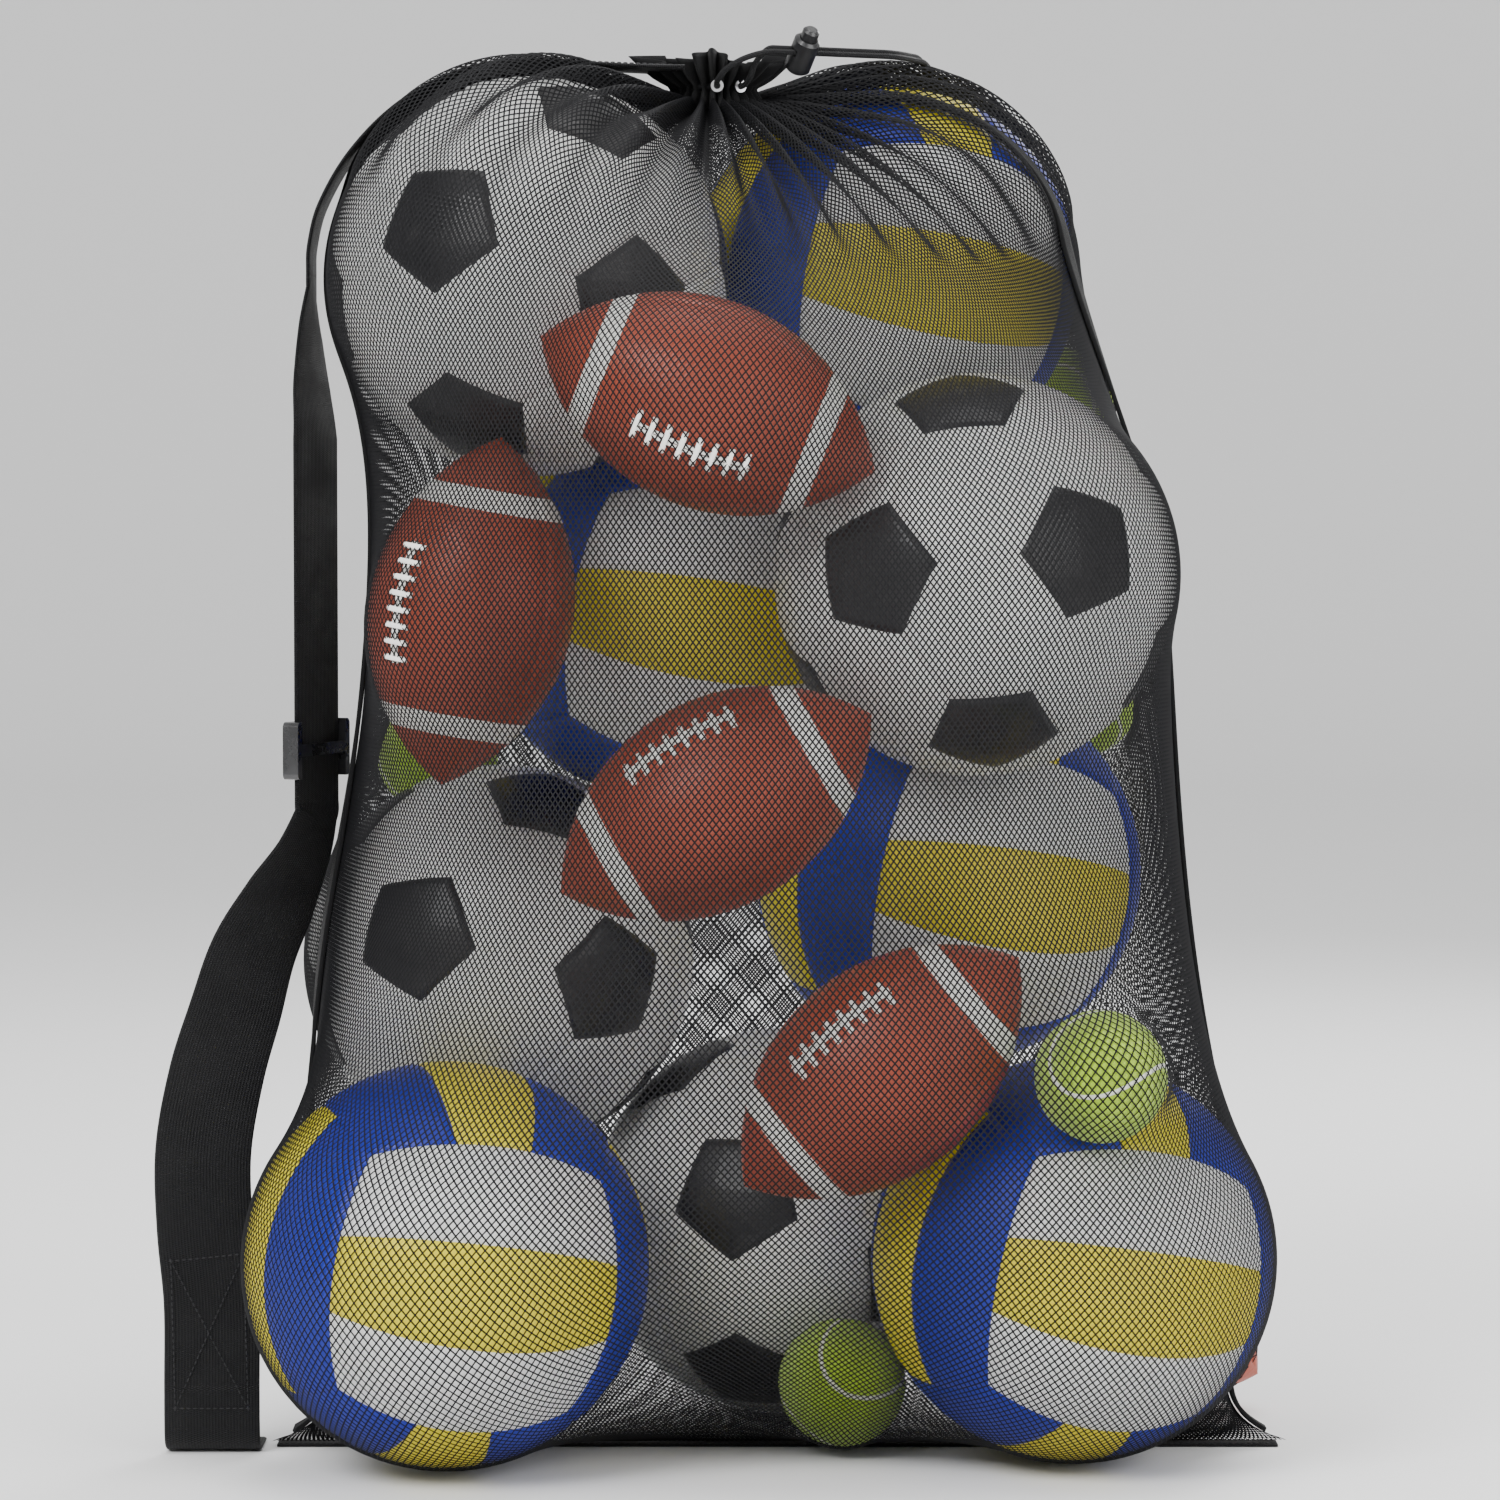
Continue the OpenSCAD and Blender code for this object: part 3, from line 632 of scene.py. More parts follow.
def football_frame(name, turn, laces):
    """The ball's middle, its long axis, and the direction of its laces."""
    turn, laces = math.radians(turn), math.radians(laces)
    long_axis = np.array([math.cos(turn), 0, math.sin(turn)])
    upper = np.array([-math.sin(turn), 0, math.cos(turn)])
    outward = math.cos(laces) * upper + math.sin(laces) * np.array([0, -1, 0])
    return place_of(name), long_axis, outward


FOOTBALL_FRAMES = [football_frame(*ball) for ball in zip(FOOTBALL_NAMES, FOOTBALL_TURNS, LACES_TURNS)]


STRIPE = (0.58, 0.70)


def football(index):
    """Four leather panels with a groove between them and a white stripe near each end."""
    name = FOOTBALL_NAMES[index]
    middle, long_axis, outward = FOOTBALL_FRAMES[index]
    third = np.cross(long_axis, outward)
    quarter = (0.5 - 0.5 * np.cos(np.linspace(0, math.pi, 15)[:-1])) * math.pi / 2
    turn = np.concatenate([quarter + k * math.pi / 2 for k in range(4)])
    cuts = [-STRIPE[1], -STRIPE[0], STRIPE[0], STRIPE[1]]
    share = np.unique(np.concatenate([np.sin(np.linspace(-math.pi / 2, math.pi / 2, 61))[1:-1], cuts]))
    t = share * FOOTBALL_HALF
    radius = football_radius(t)[:, None]
    to_seam = np.minimum(turn % (math.pi / 2), math.pi / 2 - turn % (math.pi / 2))[None, :] * radius
    radius = np.maximum(radius - 0.2 * MM - 0.8 * seam_drop(to_seam * 1.2) * (radius > 8 * MM), 0.2 * MM)
    ring = (middle + t[:, None, None] * long_axis + (radius * np.cos(turn))[..., None] * outward
            + (radius * np.sin(turn))[..., None] * third)
    rows, columns = ring.shape[:2]
    tips = [middle - long_axis * (FOOTBALL_HALF - 0.4 * MM), middle + long_axis * (FOOTBALL_HALF - 0.4 * MM)]
    verts = np.vstack([ring.reshape(-1, 3), tips])
    faces = [tuple(f) for f in grid_faces(rows, columns, wrap=True)]
    mid = (np.abs(share[1:] + share[:-1]) / 2)[:, None] + np.zeros(columns)
    paint = list(((mid > STRIPE[0]) & (mid < STRIPE[1])).astype(int).ravel())
    low, high, last = rows * columns, rows * columns + 1, (rows - 1) * columns
    faces += [(low, (k + 1) % columns, k) for k in range(columns)]
    faces += [(high, last + k, last + (k + 1) % columns) for k in range(columns)]
    paint += [0] * (2 * columns)
    ball = mesh_piece(name + "_cover", verts, faces, [football_brown, football_white], paint)
    return stands_for(ball, [name])


LACE_BARS = 8
LACE_LEN = 62 * MM
LACE_BAR_HALF = 8 * MM


def football_laces(index):
    """A double spine and eight cross bars of flat lace, bent over the ball."""
    middle, long_axis, outward = FOOTBALL_FRAMES[index]
    third = np.cross(long_axis, outward)

    def on_ball(t, aside, lift):
        radius = football_radius(np.asarray(t, float))
        angle = aside / radius
        out = np.cos(angle)[:, None] * outward + np.sin(angle)[:, None] * third
        return middle + np.asarray(t, float)[:, None] * long_axis + (radius + lift)[:, None] * out, out

    parts = []
    for aside in (-1.3 * MM, 1.3 * MM):
        t = np.linspace(-LACE_LEN / 2, LACE_LEN / 2, 40)
        line, out = on_ball(t, np.full_like(t, aside), np.full_like(t, 0.1 * MM))
        parts.append(tube("lace", line, 1.1 * MM, lace_white, 10, flat=(out, 0.7 * MM)))
    for k in range(LACE_BARS):
        aside = np.linspace(-LACE_BAR_HALF, LACE_BAR_HALF, 21)
        t = np.full_like(aside, (k / (LACE_BARS - 1) - 0.5) * (LACE_LEN - 5 * MM))
        lift = 1.1 * MM - 1.6 * MM * (np.abs(aside) / LACE_BAR_HALF) ** 4
        line, out = on_ball(t, aside, lift)
        parts.append(tube("lace", line, 1.5 * MM, lace_white, 10, flat=(out, 0.7 * MM)))
    node = f"football_laces_{index + 1}"
    return stands_for(joined(node + "_white", parts), [node])


def tennis_ball(name, yaw, tilt):
    """A felt ball and its one curved seam, a little below the nap."""
    turn = rotation("Z", yaw) @ rotation("X", tilt)
    bpy.ops.mesh.primitive_ico_sphere_add(subdivisions=5, radius=TENNIS_R - 0.2 * MM)
    felt = bpy.context.object
    felt.data.materials.append(felt_green)
    felt.data.polygons.foreach_set("use_smooth", np.full(len(felt.data.polygons), True))
    t = np.linspace(0, 2 * math.pi, 240, endpoint=False)
    a, b = 0.75, 0.25
    curve = np.stack([a * np.cos(t) + b * np.cos(3 * t), a * np.sin(t) - b * np.sin(3 * t),
                      2 * math.sqrt(a * b) * np.sin(2 * t)], -1)
    out = unit(curve @ turn.T)
    verts = np.array([v.co for v in felt.data.vertices])
    near = np.full(len(verts), 1.0)
    direction = unit(verts)
    for chunk in np.array_split(np.arange(len(verts)), 16):
        near[chunk] = np.arccos(np.clip(direction[chunk] @ out.T, -1, 1)).min(1) * TENNIS_R
    verts -= direction * (0.9 * MM * np.exp(-(near / (1.8 * MM)) ** 2))[:, None]
    felt.data.vertices.foreach_set("co", (verts + place_of(name)).ravel())
    felt.data.update()
    seam = tube("seam", out * (TENNIS_R - 0.85 * MM) + place_of(name), 1.3 * MM, seam_rubber, 8,
                flat=(out, 0.45 * MM), closed=True)
    return stands_for(joined(name + "_felt", [felt, seam]), [name])


soccer_ball("soccer_ball_1", (-0.42, -0.88, 0.24), 12)
soccer_ball("soccer_ball_2", (0.50, -0.85, 0.14), 40)
soccer_ball("soccer_ball_3", (-0.40, -0.88, 0.20), 20)
soccer_ball("soccer_ball_4", (-0.24, -0.93, 0.26), 5)
volleyball("volleyball_1", 20, 4, 10)
volleyball("volleyball_2", 16, 6, 9)
volleyball("volleyball_3", 22, 5, 9)
volleyball("volleyball_4", 14, 2, 8)
volleyball("volleyball_5", 20, 6, 10)
for index in range(len(FOOTBALL_NAMES)):
    football(index)
    football_laces(index)
for name, yaw, tilt in zip(TENNIS_NAMES, (40, -70, 10, 115, 150), (20, 50, -30, 65, 75)):
    tennis_ball(name, yaw, tilt)


# ---------------------------------------------------------------- the net, stretched over the balls

BIG_PLACES = np.array([place_of(n) for n in BIG_NAMES])
TENNIS_PLACES = np.array([place_of(n) for n in TENNIS_NAMES])
FOOTBALL_TIP_R = 9 * MM
FOOTBALL_TIPS = np.array([middle + end * (FOOTBALL_HALF - FOOTBALL_TIP_R) * long_axis
                          for middle, long_axis, _ in FOOTBALL_FRAMES for end in (-1, 1)])
LEFT_CORNER = np.array([-246 * MM, 0, 1.6 * MM])
RIGHT_CORNER = np.array([295 * MM, 0, 2.2 * MM])
MOUTH_R = 24 * MM
FLOOR_GAP = 1.0 * MM


def push_out(points):
    """Moves points out of the balls and up from the floor."""
    for places, radius in ((BIG_PLACES, BIG_R), (TENNIS_PLACES, TENNIS_R), (FOOTBALL_TIPS, FOOTBALL_TIP_R)):
        for place in places:
            away = points - place
            far = np.linalg.norm(away, axis=-1)
            inside = far < radius + NET_GAP
            points[inside] = place + away[inside] / far[inside, None] * (radius + NET_GAP)
    for index in range(len(FOOTBALL_NAMES)):
        middle, long_axis, _ = FOOTBALL_FRAMES[index]
        away = points - middle
        t = away @ long_axis
        off = away - t[:, None] * long_axis
        rho = np.maximum(np.linalg.norm(off, axis=-1), 1e-9)
        lifted = rho + FOOTBALL_ARC_R - FOOTBALL_R
        far = np.hypot(t, lifted)
        inside = (far < FOOTBALL_ARC_R + NET_GAP) & (np.abs(t) < FOOTBALL_HALF + NET_GAP)
        grow = (FOOTBALL_ARC_R + NET_GAP) / far[inside]
        new_rho = np.maximum(lifted[inside] * grow - (FOOTBALL_ARC_R - FOOTBALL_R), 0)
        points[inside] = (middle + (t[inside] * grow)[:, None] * long_axis
                          + off[inside] / rho[inside, None] * new_rho[:, None])
    points[:, 2] = np.maximum(points[:, 2], FLOOR_GAP)
    return points


def first_shape(columns, rows):
    """The bag before it is drawn tight: a wide tube from the bottom seam to the mouth."""
    u = np.arange(columns) / columns
    v = np.linspace(0, 1, rows)[:, None]
    across, depth = -np.cos(2 * math.pi * u), -np.sin(2 * math.pi * u)
    middle = (LEFT_CORNER + RIGHT_CORNER) / 2
    half = (RIGHT_CORNER[0] - LEFT_CORNER[0]) / 2
    seam_x = middle[0] + half * (1 - 4 * np.abs(u - 0.5))
    seam_z = (LEFT_CORNER[2] + (RIGHT_CORNER[2] - LEFT_CORNER[2]) * (seam_x - LEFT_CORNER[0]) / (2 * half))
    seam = np.stack([seam_x, 0 * u, seam_z], -1)
    wall = np.stack([middle[0] + half * 1.12 * np.sign(across) * np.abs(across) ** 0.7,
                     240 * MM * np.sign(depth) * np.abs(depth) ** 0.7, 0 * u], -1)
    mouth = np.stack([NECK[0] + MOUTH_R * across, NECK[1] + MOUTH_R * depth, 0 * u + NECK[2] + 1 * MM], -1)
    low, high = np.clip(v / 0.17, 0, 1), np.clip((v - 0.84) / 0.16, 0, 1)
    height = np.clip((v - 0.12) / 0.70, 0, 1) * 735 * MM
    shape = seam[None] * (1 - low[..., None]) + (wall[None] + height[..., None] * [0, 0, 1]) * low[..., None]
    return shape * (1 - high[..., None]) + mouth[None] * high[..., None]


def finer(shape):
    """Twice the rows and columns."""
    wide = np.empty((shape.shape[0], shape.shape[1] * 2, 3))
    wide[:, ::2] = shape
    wide[:, 1::2] = (shape + np.roll(shape, -1, 1)) / 2
    tall = np.empty((shape.shape[0] * 2 - 1, wide.shape[1], 3))
    tall[::2] = wide
    tall[1::2] = (wide[1:] + wide[:-1]) / 2
    return tall


GRIP = 0.12
FASTEST = 4 * MM


def drawn_tight(shape, steps):
    """Tension: each place moves towards the middle of its neighbours, and stays out of the balls.

    Where the net lies on a ball it hardly slides, so it doesn't slip round a small one.
    """
    for _ in range(steps):
        inner = shape[1:-1]
        pull = (np.roll(inner, 1, 1) + np.roll(inner, -1, 1) + shape[:-2] + shape[2:]) / 4
        step = 0.9 * (pull - inner)
        far = np.linalg.norm(step, axis=-1, keepdims=True)
        wanted = inner + step * np.minimum(1, FASTEST / np.maximum(far, 1e-9))
        clear = push_out(wanted.reshape(-1, 3).copy()).reshape(wanted.shape)
        held = np.linalg.norm(clear - wanted, axis=-1, keepdims=True) > 1e-7
        shape[1:-1] = np.where(held, inner + GRIP * (clear - inner), clear)
    shape[1:-1] = push_out(shape[1:-1].reshape(-1, 3).copy()).reshape(shape[1:-1].shape)
    return shape


def normals(shape):
    across = np.roll(shape, -1, 1) - np.roll(shape, 1, 1)
    up = np.gradient(shape, axis=0)
    return unit(np.cross(across, up))


PLEATS = 30
NET_GIVE = 0.12
PLEAT_DEEPEST = 16 * MM


def gathered(shape):
    """Pleats where the mouth draws the columns together.

    The net closes up by NET_GIVE of its flat width before it folds. What is left of the width goes into
    the pleats: a wave of height 2a is 1 + (a k / 2) ** 2 times as long as the line that it follows.
    """
    spacing = np.linalg.norm(np.roll(shape, -1, 1) - shape, axis=-1).mean(1)
    loose = 2 * FLAT_PANEL[0] / shape.shape[1]
    folded = np.maximum((1 - NET_GIVE) * loose / spacing - 1, 0)
    half_height = spacing * shape.shape[1] / (math.pi * PLEATS) * np.sqrt(folded)
    upper = np.linspace(0, 1, shape.shape[0]) > 0.5
    turn = 2 * math.pi * np.arange(shape.shape[1]) / shape.shape[1]
    wobble = 0.7 * np.sin(3 * turn + 0.8) + 0.5 * np.sin(7 * turn)
    wave = 0.5 + 0.5 * np.sin(PLEATS * turn + wobble)
    depth = (np.minimum(2 * half_height, PLEAT_DEEPEST) * upper)[:, None] * wave
    return shape + normals(shape) * depth[..., None]


def bag_shape():
    shape = drawn_tight(first_shape(120, 80), 700)
    shape = drawn_tight(finer(shape), 260)
    return gathered(shape)


BAG = bag_shape()
BAG_NORMALS = normals(BAG)


def evenly_spaced_rows():
    """Where each of many rows lies on the grid, so that the net's rows are a like distance apart."""
    gap = np.linalg.norm(np.diff(BAG, axis=0), axis=-1).mean(1)
    along = np.concatenate([[0], np.cumsum(gap)])
    return along / along[-1]


ROW_SHARE = evenly_spaced_rows()


SEAM_SWAY = 0.03


def on_bag(u, v, field):
    """Bilinear lookup: u goes once round from the left seam by the front, v from the bottom to the mouth.

    The right seam leans to the back where the net closes over the top balls.
    """
    rows, columns = BAG.shape[:2]
    upper = np.clip((v - 0.55) / 0.3, 0, 1)
    to_back = SEAM_SWAY * upper ** 2 * (3 - 2 * upper) * (1 - np.cos(2 * math.pi * u)) / 2
    x, y = (u + to_back) * columns, np.clip(v, 0, 1) * (rows - 1)
    i, j = np.floor(x).astype(int), np.minimum(np.floor(y).astype(int), rows - 2)
    fx, fy = (x - i)[..., None], (y - j)[..., None]
    i, k = i % columns, (i + 1) % columns
    return ((field[j, i] * (1 - fx) + field[j, k] * fx) * (1 - fy)
            + (field[j + 1, i] * (1 - fx) + field[j + 1, k] * fx) * fy)


def net_tree():
    """Turns each diamond of a mesh into a hole with a rounded rib round it."""
    tree = bpy.data.node_groups.new("net ribs", "GeometryNodeTree")
    tree.interface.new_socket("Geometry", in_out="INPUT", socket_type="NodeSocketGeometry")
    thread = tree.interface.new_socket("Thread", in_out="INPUT", socket_type="NodeSocketFloat")
    relief = tree.interface.new_socket("Relief", in_out="INPUT", socket_type="NodeSocketFloat")
    coat = tree.interface.new_socket("Material", in_out="INPUT", socket_type="NodeSocketMaterial")
    tree.interface.new_socket("Geometry", in_out="OUTPUT", socket_type="NodeSocketGeometry")
    nodes, links = tree.nodes, tree.links
    into, out = nodes.new("NodeGroupInput"), nodes.new("NodeGroupOutput")
    extrude = nodes.new("GeometryNodeExtrudeMesh")
    extrude.mode = "FACES"
    extrude.inputs["Offset Scale"].default_value = 0
    extrude.inputs["Individual"].default_value = True
    links.new(into.outputs["Geometry"], extrude.inputs["Mesh"])
    inner_r = nodes.new("GeometryNodeInputNamedAttribute")
    inner_r.inputs["Name"].default_value = "inner radius"
    taken = nodes.new("ShaderNodeMath")
    taken.operation = "DIVIDE"
    half = nodes.new("ShaderNodeMath")
    half.operation = "MULTIPLY"
    half.inputs[1].default_value = 0.5
    links.new(into.outputs["Thread"], half.inputs[0])
    links.new(half.outputs[0], taken.inputs[0])
    links.new(inner_r.outputs["Attribute"], taken.inputs[1])
    left = nodes.new("ShaderNodeMath")
    left.operation = "SUBTRACT"
    left.inputs[0].default_value = 1
    links.new(taken.outputs[0], left.inputs[1])
    most = nodes.new("ShaderNodeMath")
    most.operation = "MAXIMUM"
    most.inputs[1].default_value = 0.02
    links.new(left.outputs[0], most.inputs[0])
    shrink = nodes.new("GeometryNodeScaleElements")
    links.new(extrude.outputs["Mesh"], shrink.inputs["Geometry"])
    links.new(extrude.outputs["Top"], shrink.inputs["Selection"])
    links.new(most.outputs[0], shrink.inputs["Scale"])
    normal = nodes.new("GeometryNodeInputNormal")
    drop = nodes.new("ShaderNodeVectorMath")
    drop.operation = "SCALE"
    links.new(normal.outputs[0], drop.inputs[0])
    minus = nodes.new("ShaderNodeMath")
    minus.operation = "MULTIPLY"
    minus.inputs[1].default_value = -1
    links.new(into.outputs["Relief"], minus.inputs[0])
    links.new(minus.outputs[0], drop.inputs["Scale"])
    lower = nodes.new("GeometryNodeSetPosition")
    links.new(shrink.outputs[0], lower.inputs["Geometry"])
    links.new(extrude.outputs["Top"], lower.inputs["Selection"])
    links.new(drop.outputs["Vector"], lower.inputs["Offset"])
    cut = nodes.new("GeometryNodeDeleteGeometry")
    cut.domain = "FACE"
    links.new(lower.outputs[0], cut.inputs["Geometry"])
    links.new(extrude.outputs["Top"], cut.inputs["Selection"])
    realize = nodes.new("GeometryNodeRealizeInstances")
    links.new(cut.outputs[0], realize.inputs[0])
    paint = nodes.new("GeometryNodeSetMaterial")
    links.new(realize.outputs[0], paint.inputs["Geometry"])
    links.new(into.outputs["Material"], paint.inputs["Material"])
    links.new(paint.outputs[0], out.inputs[0])
    return tree, {"thread": thread.identifier, "relief": relief.identifier, "material": coat.identifier}


def grown(obj, tree, values):
    """obj with what a Geometry Nodes tree makes of it, as a plain mesh."""
    modifier = obj.modifiers.new("grown", "NODES")
    modifier.node_group = tree
    for identifier, value in values.items():
        modifier[identifier] = value
    bpy.context.view_layer.update()
    evaluated = obj.evaluated_get(bpy.context.evaluated_depsgraph_get())
    mesh = bpy.data.meshes.new_from_object(evaluated)
    obj.modifiers.remove(modifier)
    obj.data = mesh
    return obj


NET_TREE, NET_INPUTS = net_tree()


def net_piece(name, u_from, u_to, band):
    """One band of a panel: a lattice of diamonds laid on the bag's shape, then opened into a net.

    The bands' edges interlock, so no line shows between them.
    """
    rows_from = 2 * round(NET_CELLS_HIGH * band / NET_BANDS)
    rows_to = min(2 * round(NET_CELLS_HIGH * (band + 1) / NET_BANDS) + 1, 2 * NET_CELLS_HIGH)
    j, i = np.mgrid[rows_from:rows_to + 1, 0:2 * NET_CELLS_WIDE + 1]
    number = -np.ones(i.shape, int)
    corner = (i + j) % 2 == 0
    number[corner] = np.arange(corner.sum())
    u = u_from + (u_to - u_from) * i[corner] / (2 * NET_CELLS_WIDE)
    level = np.interp(j[corner] / (2 * NET_CELLS_HIGH), ROW_SHARE, np.linspace(0, 1, len(ROW_SHARE)))
    verts = on_bag(u, level, BAG)
    middle = ~corner
    middle[[0, -1]] = False
    middle[:, [0, -1]] = False
    r, c = np.nonzero(middle)
    faces = np.stack([number[r - 1, c], number[r, c + 1], number[r + 1, c], number[r, c - 1]], -1)
    piece = mesh_piece(name, verts, faces, [net_black])
    ring = verts[faces]
    across, down = ring[:, 1] - ring[:, 3], ring[:, 2] - ring[:, 0]
    area = np.linalg.norm(np.cross(across, down), axis=1) / 2
    round_edge = np.linalg.norm(ring - np.roll(ring, 1, 1), axis=2).sum(1)
    from_mouth = np.linalg.norm(ring.mean(1) - NECK, axis=1)
    loosened = np.clip((from_mouth - DENSE_WITHIN) / (OPEN_BEYOND - DENSE_WITHIN), 0.001, 1)
    inner = piece.data.attributes.new("inner radius", "FLOAT", "FACE")
    radius = np.maximum(2 * area / round_edge, NET_THREAD * loosened)
    inner.data.foreach_set("value", radius.astype(np.float32))
    grown(piece, NET_TREE, {NET_INPUTS["thread"]: NET_THREAD, NET_INPUTS["relief"]: NET_RELIEF,
                            NET_INPUTS["material"]: net_black})
    piece.data.polygons.foreach_set("use_smooth", np.full(len(piece.data.polygons), True))
    return piece


for side, u_from, u_to in (("front", 0.0, 0.5), ("back", 0.5, 1.0)):
    for band, level in enumerate(("low", "middle", "high")):
        piece = net_piece(f"{side}_net_{level}", u_from, u_to, band)
        stands_for(piece, [f"{side}_mesh_panel"])


# ---------------------------------------------------------------- tapes, hem and stitches

def ribbon(name, line, side, out, width, thickness, material):
    """Webbing or tape along a line, with rounded edges, on a UV map in metres."""
    line, side, out = np.asarray(line), unit(side), unit(out)
    share = np.array([-1, -0.985, -0.94, -0.6, -0.2, 0.2, 0.6, 0.94, 0.985, 1.0])
    lift = np.array([0, 0.6, 1, 1, 1, 1, 1, 1, 0.6, 0])
    top = np.stack([share * width / 2, lift * thickness / 2], -1)
    section = np.vstack([top, top[1:-1][::-1] * [1, -1]])
    ring = line[:, None] + section[None, :, :1] * side[:, None] + section[None, :, 1:] * out[:, None]
    rows, sides = len(line), len(section)
    along = np.concatenate([[0], np.cumsum(np.linalg.norm(np.diff(line, axis=0), axis=1))])
    uv = np.stack([np.tile(section[:, 0], rows), np.repeat(along, sides)], -1)
    faces = [tuple(f) for f in grid_faces(rows, sides, wrap=True)]
    faces += [tuple(range(sides))[::-1], tuple((rows - 1) * sides + k for k in range(sides))]
    ahead = line[1] - line[0]
    if np.dot(np.cross(side[0], out[0]), ahead) < 0:
        faces = [f[::-1] for f in faces]
    return mesh_piece(name, ring.reshape(-1, 3), faces, [material], uv=uv)


def seam_tape(side_name, u):
    """Folded tape over the side seam, from the corner up to the mouth."""
    v = np.linspace(0.012, 0.985, 240)
    line = on_bag(np.full_like(v, u), v, BAG)
    out = on_bag(np.full_like(v, u), v, BAG_NORMALS)
    for _ in range(6):
        line[1:-1] = (line[:-2] + line[1:-1] * 2 + line[2:]) / 4
        out[1:-1] = (out[:-2] + out[1:-1] * 2 + out[2:]) / 4
    out = unit(out)
    side = np.cross(unit(np.gradient(line, axis=0)), out)
    tape = ribbon(f"{side_name}_seam_tape", line + out * 1.6 * MM, side, out, 11 * MM, 2.4 * MM, tape_black)
    for vert in tape.data.vertices:
        vert.co.z = max(vert.co.z, 0.3 * MM)
    return stands_for(tape, [f"{side_name}_side_seam_tape"])


seam_tape("left", 0.0)
seam_tape("right", 0.5)


def bottom_binding():
    low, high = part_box("bottom_seam_binding")
    x = np.linspace(low[0], high[0] - 3 * MM, 160)
    line = np.stack([x, 0 * x, np.full_like(x, 0.7 * MM)], -1)
    side, out = np.tile([0, 1.0, 0], (160, 1)), np.tile([0, 0, 1.0], (160, 1))
    tape = ribbon("bottom_binding", line, side, out, high[1] - low[1], high[2] - low[2], tape_black)
    return stands_for(tape, ["bottom_seam_binding"])


bottom_binding()


def mouth_ruffle():
    """The hem drawn up on its cord: a pleated ring that flares at its top edge."""
    columns, rows = PLEATS * 16, 15
    turn = 2 * math.pi * np.arange(columns) / columns
    wobble = 0.7 * np.sin(3 * turn + 0.8) + 0.5 * np.sin(7 * turn)
    wave = np.sin(PLEATS * turn + wobble)
    share = np.linspace(0, 1, rows)[:, None]
    height = -3 * MM + share * (HEM_SIZE[2] + 9 * MM)
    waist = np.exp(-((share - 0.52) / 0.13) ** 2)
    middle_r = (22.5 - 2.5 * waist + 13 * np.clip(share - 0.55, 0, 1) / 0.45) * MM
    swing = (3.4 - 2.0 * waist + 3.6 * share ** 2) * MM
    uneven = 1 + 0.35 * np.sin(5 * turn + 1.1) * share
    layers = []
    for thickness in (0.5 * MM, -0.5 * MM):
        r = middle_r + swing * wave * uneven + thickness
        z = height + MM * share ** 2 * (3.0 * np.sin(4 * turn + 2) + 1.6 * np.sin(9 * turn))
        layers.append(np.stack([NECK[0] - r * np.cos(turn), NECK[1] - r * np.sin(turn), NECK[2] + z], -1))
    outer, inner = layers
    verts = np.vstack([outer.reshape(-1, 3), inner.reshape(-1, 3)])
    shift = rows * columns
    faces = [tuple(f) for f in grid_faces(rows, columns, wrap=True)]
    faces += [tuple(f[::-1]) for f in grid_faces(rows, columns, wrap=True, start=shift)]
    for row, order in ((0, -1), ((rows - 1) * columns, 1)):
        for k in range(columns):
            n = (k + 1) % columns
            faces.append((row + k, row + n, shift + row + n, shift + row + k)[::order])
    along = np.concatenate([[0], np.cumsum(np.full(columns - 1, 2 * FLAT_PANEL[0] / columns))])
    uv = np.stack([np.tile(along, rows * 2), np.tile(np.repeat(height.ravel(), columns), 2)], -1)
    ruffle = mesh_piece("mouth_ruffle", verts, faces, [tape_black], uv=uv)
    return stands_for(ruffle, ["mouth_hem"])


mouth_ruffle()


# ---------------------------------------------------------------- shoulder strap

def strap_line():
    """Every stop of the strap from the hem to its fold on the floor, each with the turn of its width."""
    stops = [(x, TOP_PATH_Y, z, 90) for x, z in TOP_PATH]
    stops += UPPER_STOPS[1:] + LOWER_STOPS[1:] + [(ANCHOR_X, y, z, 0) for y, z in ANCHOR_PATH[1:]]
    return np.array(stops, float)


def strap():
    """The whole strap as one smooth band, cut where the CAD's pieces meet."""
    stops = strap_line()
    steps = 10
    line = hermite(stops[:, :3], straight_after=len(TOP_PATH) + 3, steps=steps) * MM
    turn = np.radians(np.interp(np.arange(len(line)) / steps, np.arange(len(stops)), stops[:, 3]))
    ahead = unit(np.gradient(line, axis=0))
    side = np.stack([np.cos(turn), np.sin(turn), 0 * turn], -1)
    side = unit(side - ahead * (side * ahead).sum(-1, keepdims=True))
    out = np.cross(ahead, side)
    ends = np.cumsum([0, len(TOP_PATH) - 1, len(UPPER_STOPS) - 1, len(LOWER_STOPS) - 1,
                      len(ANCHOR_PATH) - 1]) * steps
    nodes = ("strap_top_run", "strap_upper_run", "strap_lower_run", "strap_bottom_anchor")
    for node, start, end in zip(nodes, ends[:-1], ends[1:]):
        cut = slice(start, end + 1)
        band = ribbon(node + "_webbing", line[cut], side[cut], out[cut], WEBBING_W, WEBBING_T, webbing_black)
        stands_for(band, [node])
    return line, side, out


STRAP_LINE, STRAP_SIDE, STRAP_OUT = strap()


# ---------------------------------------------------------------- stitches

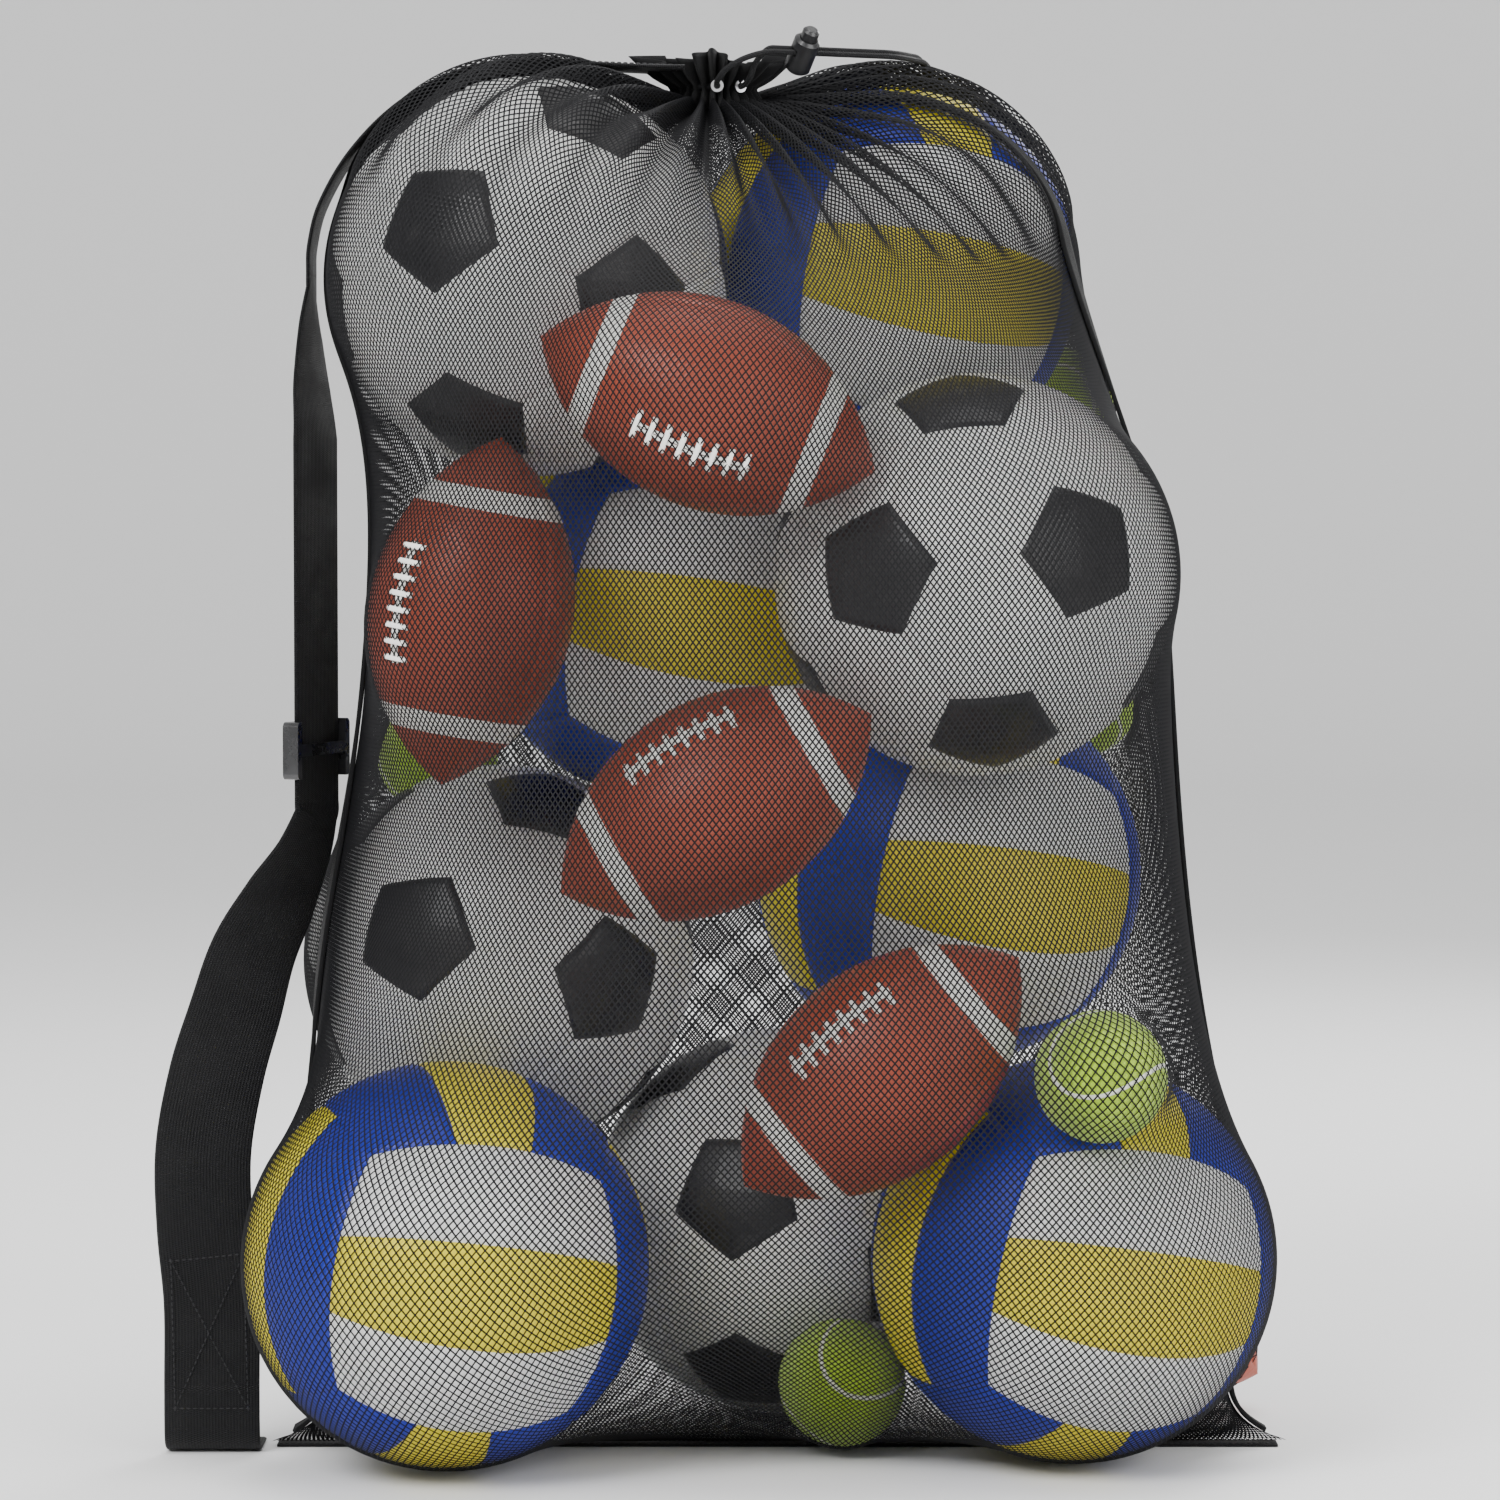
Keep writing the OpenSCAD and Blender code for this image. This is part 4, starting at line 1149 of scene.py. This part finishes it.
def stitch_tree():
    """Short threads laid end to end along every line of a mesh."""
    tree = bpy.data.node_groups.new("stitch rows", "GeometryNodeTree")
    tree.interface.new_socket("Geometry", in_out="INPUT", socket_type="NodeSocketGeometry")
    pitch = tree.interface.new_socket("Pitch", in_out="INPUT", socket_type="NodeSocketFloat")
    size = tree.interface.new_socket("Stitch Size", in_out="INPUT", socket_type="NodeSocketVector")
    coat = tree.interface.new_socket("Material", in_out="INPUT", socket_type="NodeSocketMaterial")
    tree.interface.new_socket("Geometry", in_out="OUTPUT", socket_type="NodeSocketGeometry")
    nodes, links = tree.nodes, tree.links
    into, out = nodes.new("NodeGroupInput"), nodes.new("NodeGroupOutput")
    curve = nodes.new("GeometryNodeMeshToCurve")
    links.new(into.outputs["Geometry"], curve.inputs[0])
    spaced = nodes.new("GeometryNodeResampleCurve")
    spaced.mode = "LENGTH"
    links.new(curve.outputs[0], spaced.inputs["Curve"])
    links.new(into.outputs["Pitch"], spaced.inputs["Length"])
    bead = nodes.new("GeometryNodeMeshIcoSphere")
    bead.inputs["Radius"].default_value = 0.5
    bead.inputs["Subdivisions"].default_value = 2
    tangent = nodes.new("GeometryNodeInputTangent")
    turned = nodes.new("FunctionNodeAlignRotationToVector")
    turned.axis = "X"
    links.new(tangent.outputs[0], turned.inputs["Vector"])
    placed = nodes.new("GeometryNodeInstanceOnPoints")
    links.new(spaced.outputs[0], placed.inputs["Points"])
    links.new(bead.outputs["Mesh"], placed.inputs["Instance"])
    links.new(turned.outputs[0], placed.inputs["Rotation"])
    links.new(into.outputs["Stitch Size"], placed.inputs["Scale"])
    realize = nodes.new("GeometryNodeRealizeInstances")
    links.new(placed.outputs[0], realize.inputs[0])
    paint = nodes.new("GeometryNodeSetMaterial")
    links.new(realize.outputs[0], paint.inputs["Geometry"])
    links.new(into.outputs["Material"], paint.inputs["Material"])
    links.new(paint.outputs[0], out.inputs[0])
    return tree, {"pitch": pitch.identifier, "size": size.identifier, "material": coat.identifier}


STITCH_TREE, STITCH_INPUTS = stitch_tree()


def stitches(name, lines, material=thread_black, pitch=3.2 * MM, long=2.5 * MM, thick=0.8 * MM):
    """Rows of stitches along lines, each an array of points."""
    verts, edges = [], []
    for line in lines:
        start = len(verts)
        verts += [tuple(p) for p in line]
        edges += [(start + k, start + k + 1) for k in range(len(line) - 1)]
    mesh = bpy.data.meshes.new(name)
    mesh.from_pydata(verts, edges, [])
    rows = bpy.data.objects.new(name, mesh)
    bpy.context.collection.objects.link(rows)
    grown(rows, STITCH_TREE, {STITCH_INPUTS["pitch"]: pitch, STITCH_INPUTS["size"]: (long, thick, thick),
                              STITCH_INPUTS["material"]: material})
    rows.data.polygons.foreach_set("use_smooth", np.full(len(rows.data.polygons), True))
    return stands_for(rows, [])


def box_and_cross(line, side, out, along, half, lift):
    """The usual box with a cross in it, laid on webbing between two places along its line."""
    first, last = along
    points = {}
    for end, place in (("a", first), ("b", last)):
        for edge in (-1, 1):
            points[end, edge] = line[place] + side[place] * half * edge + out[place] * lift
    rows = [[("a", -1), ("a", 1)], [("b", -1), ("b", 1)], [("a", -1), ("b", 1)], [("a", 1), ("b", -1)],
            [("a", -1), ("b", -1)], [("a", 1), ("b", 1)]]
    return [np.linspace(points[p], points[q], 12) for p, q in rows]


# ---------------------------------------------------------------- hard fittings

def softened(node, width, material, segments=3):
    """A CAD piece whose shape stays, with its edges rounded and its material set."""
    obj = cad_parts[node]
    obj.data.materials.clear()
    obj.data.materials.append(material)
    bevel = obj.modifiers.new("rounded", "BEVEL")
    bevel.width = width
    bevel.segments = segments
    bevel.limit_method = "ANGLE"
    bevel.angle_limit = math.radians(35)
    bevel.harden_normals = True
    return obj


def sewn_rows():
    """Every row of stitching on the bag's webbing and tapes."""
    proud = WEBBING_T / 2 + 0.1 * MM
    last = len(STRAP_LINE) - 1
    sewn = []
    for lift in (proud, -proud):
        sewn += box_and_cross(STRAP_LINE, STRAP_SIDE, STRAP_OUT, (3, 22), 19 * MM, lift)
        sewn += box_and_cross(STRAP_LINE, STRAP_SIDE, STRAP_OUT, (last - 66, last - 44), 19 * MM, lift)
    stitches("strap_end_stitches", sewn)
    low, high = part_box("bottom_seam_binding")
    x = np.linspace(low[0] + 2 * MM, high[0] - 5 * MM, 90)
    rows = [np.stack([x, 0 * x + y, 0 * x + 1.45 * MM], -1) for y in (-5.5 * MM, 5.5 * MM)]
    stitches("binding_stitches", rows)
    turn = np.linspace(0, 2 * math.pi, 181)
    hem_rows = [np.stack([NECK[0] + r * np.cos(turn), NECK[1] + r * np.sin(turn), 0 * turn + NECK[2] + z], -1)
                for r, z in ((23.6 * MM, 2.5 * MM),)]
    stitches("hem_stitches", hem_rows)


sewn_rows()


softened("strap_slider", 1.0 * MM, slider_black)
softened("cord_lock_barrel", 0.4 * MM, lock_black)
softened("cord_lock_button", 0.4 * MM, lock_black)
for node in ("mouth_eyelet_left", "mouth_eyelet_right"):
    softened(node, 0.25 * MM, bright_steel)
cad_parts["drawcord_hem_run"].data.materials.clear()
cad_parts["drawcord_hem_run"].data.materials.append(cord_black)


def lock_spring():
    """The spring under the button, in the lock's own tilt."""
    turn = rotation("Z", math.degrees(CORD_YAW)) @ rotation("X", math.degrees(LOCK_TILT))
    low, high, radius, turns = -9.35 * MM, -4.45 * MM, 3.4 * MM, 3
    angle = np.linspace(0, 2 * math.pi * turns, 120)
    helix = np.stack([radius * np.cos(angle), radius * np.sin(angle), np.linspace(low, high, 120)], -1)
    run = np.array([math.cos(CORD_YAW), math.sin(CORD_YAW), 0])
    aside = turn @ np.array([0, 1, 0]) * STRAND_SPACING / 2
    centre = np.array(STRAIGHT_START) * MM + 18 * MM * run + aside
    spring = tube("lock_spring", helix @ turn.T + centre, 0.45 * MM, bright_steel, 8)
    stands_for(spring, ["cord_lock_spring"], body="cord_lock")
    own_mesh(spring)


lock_spring()
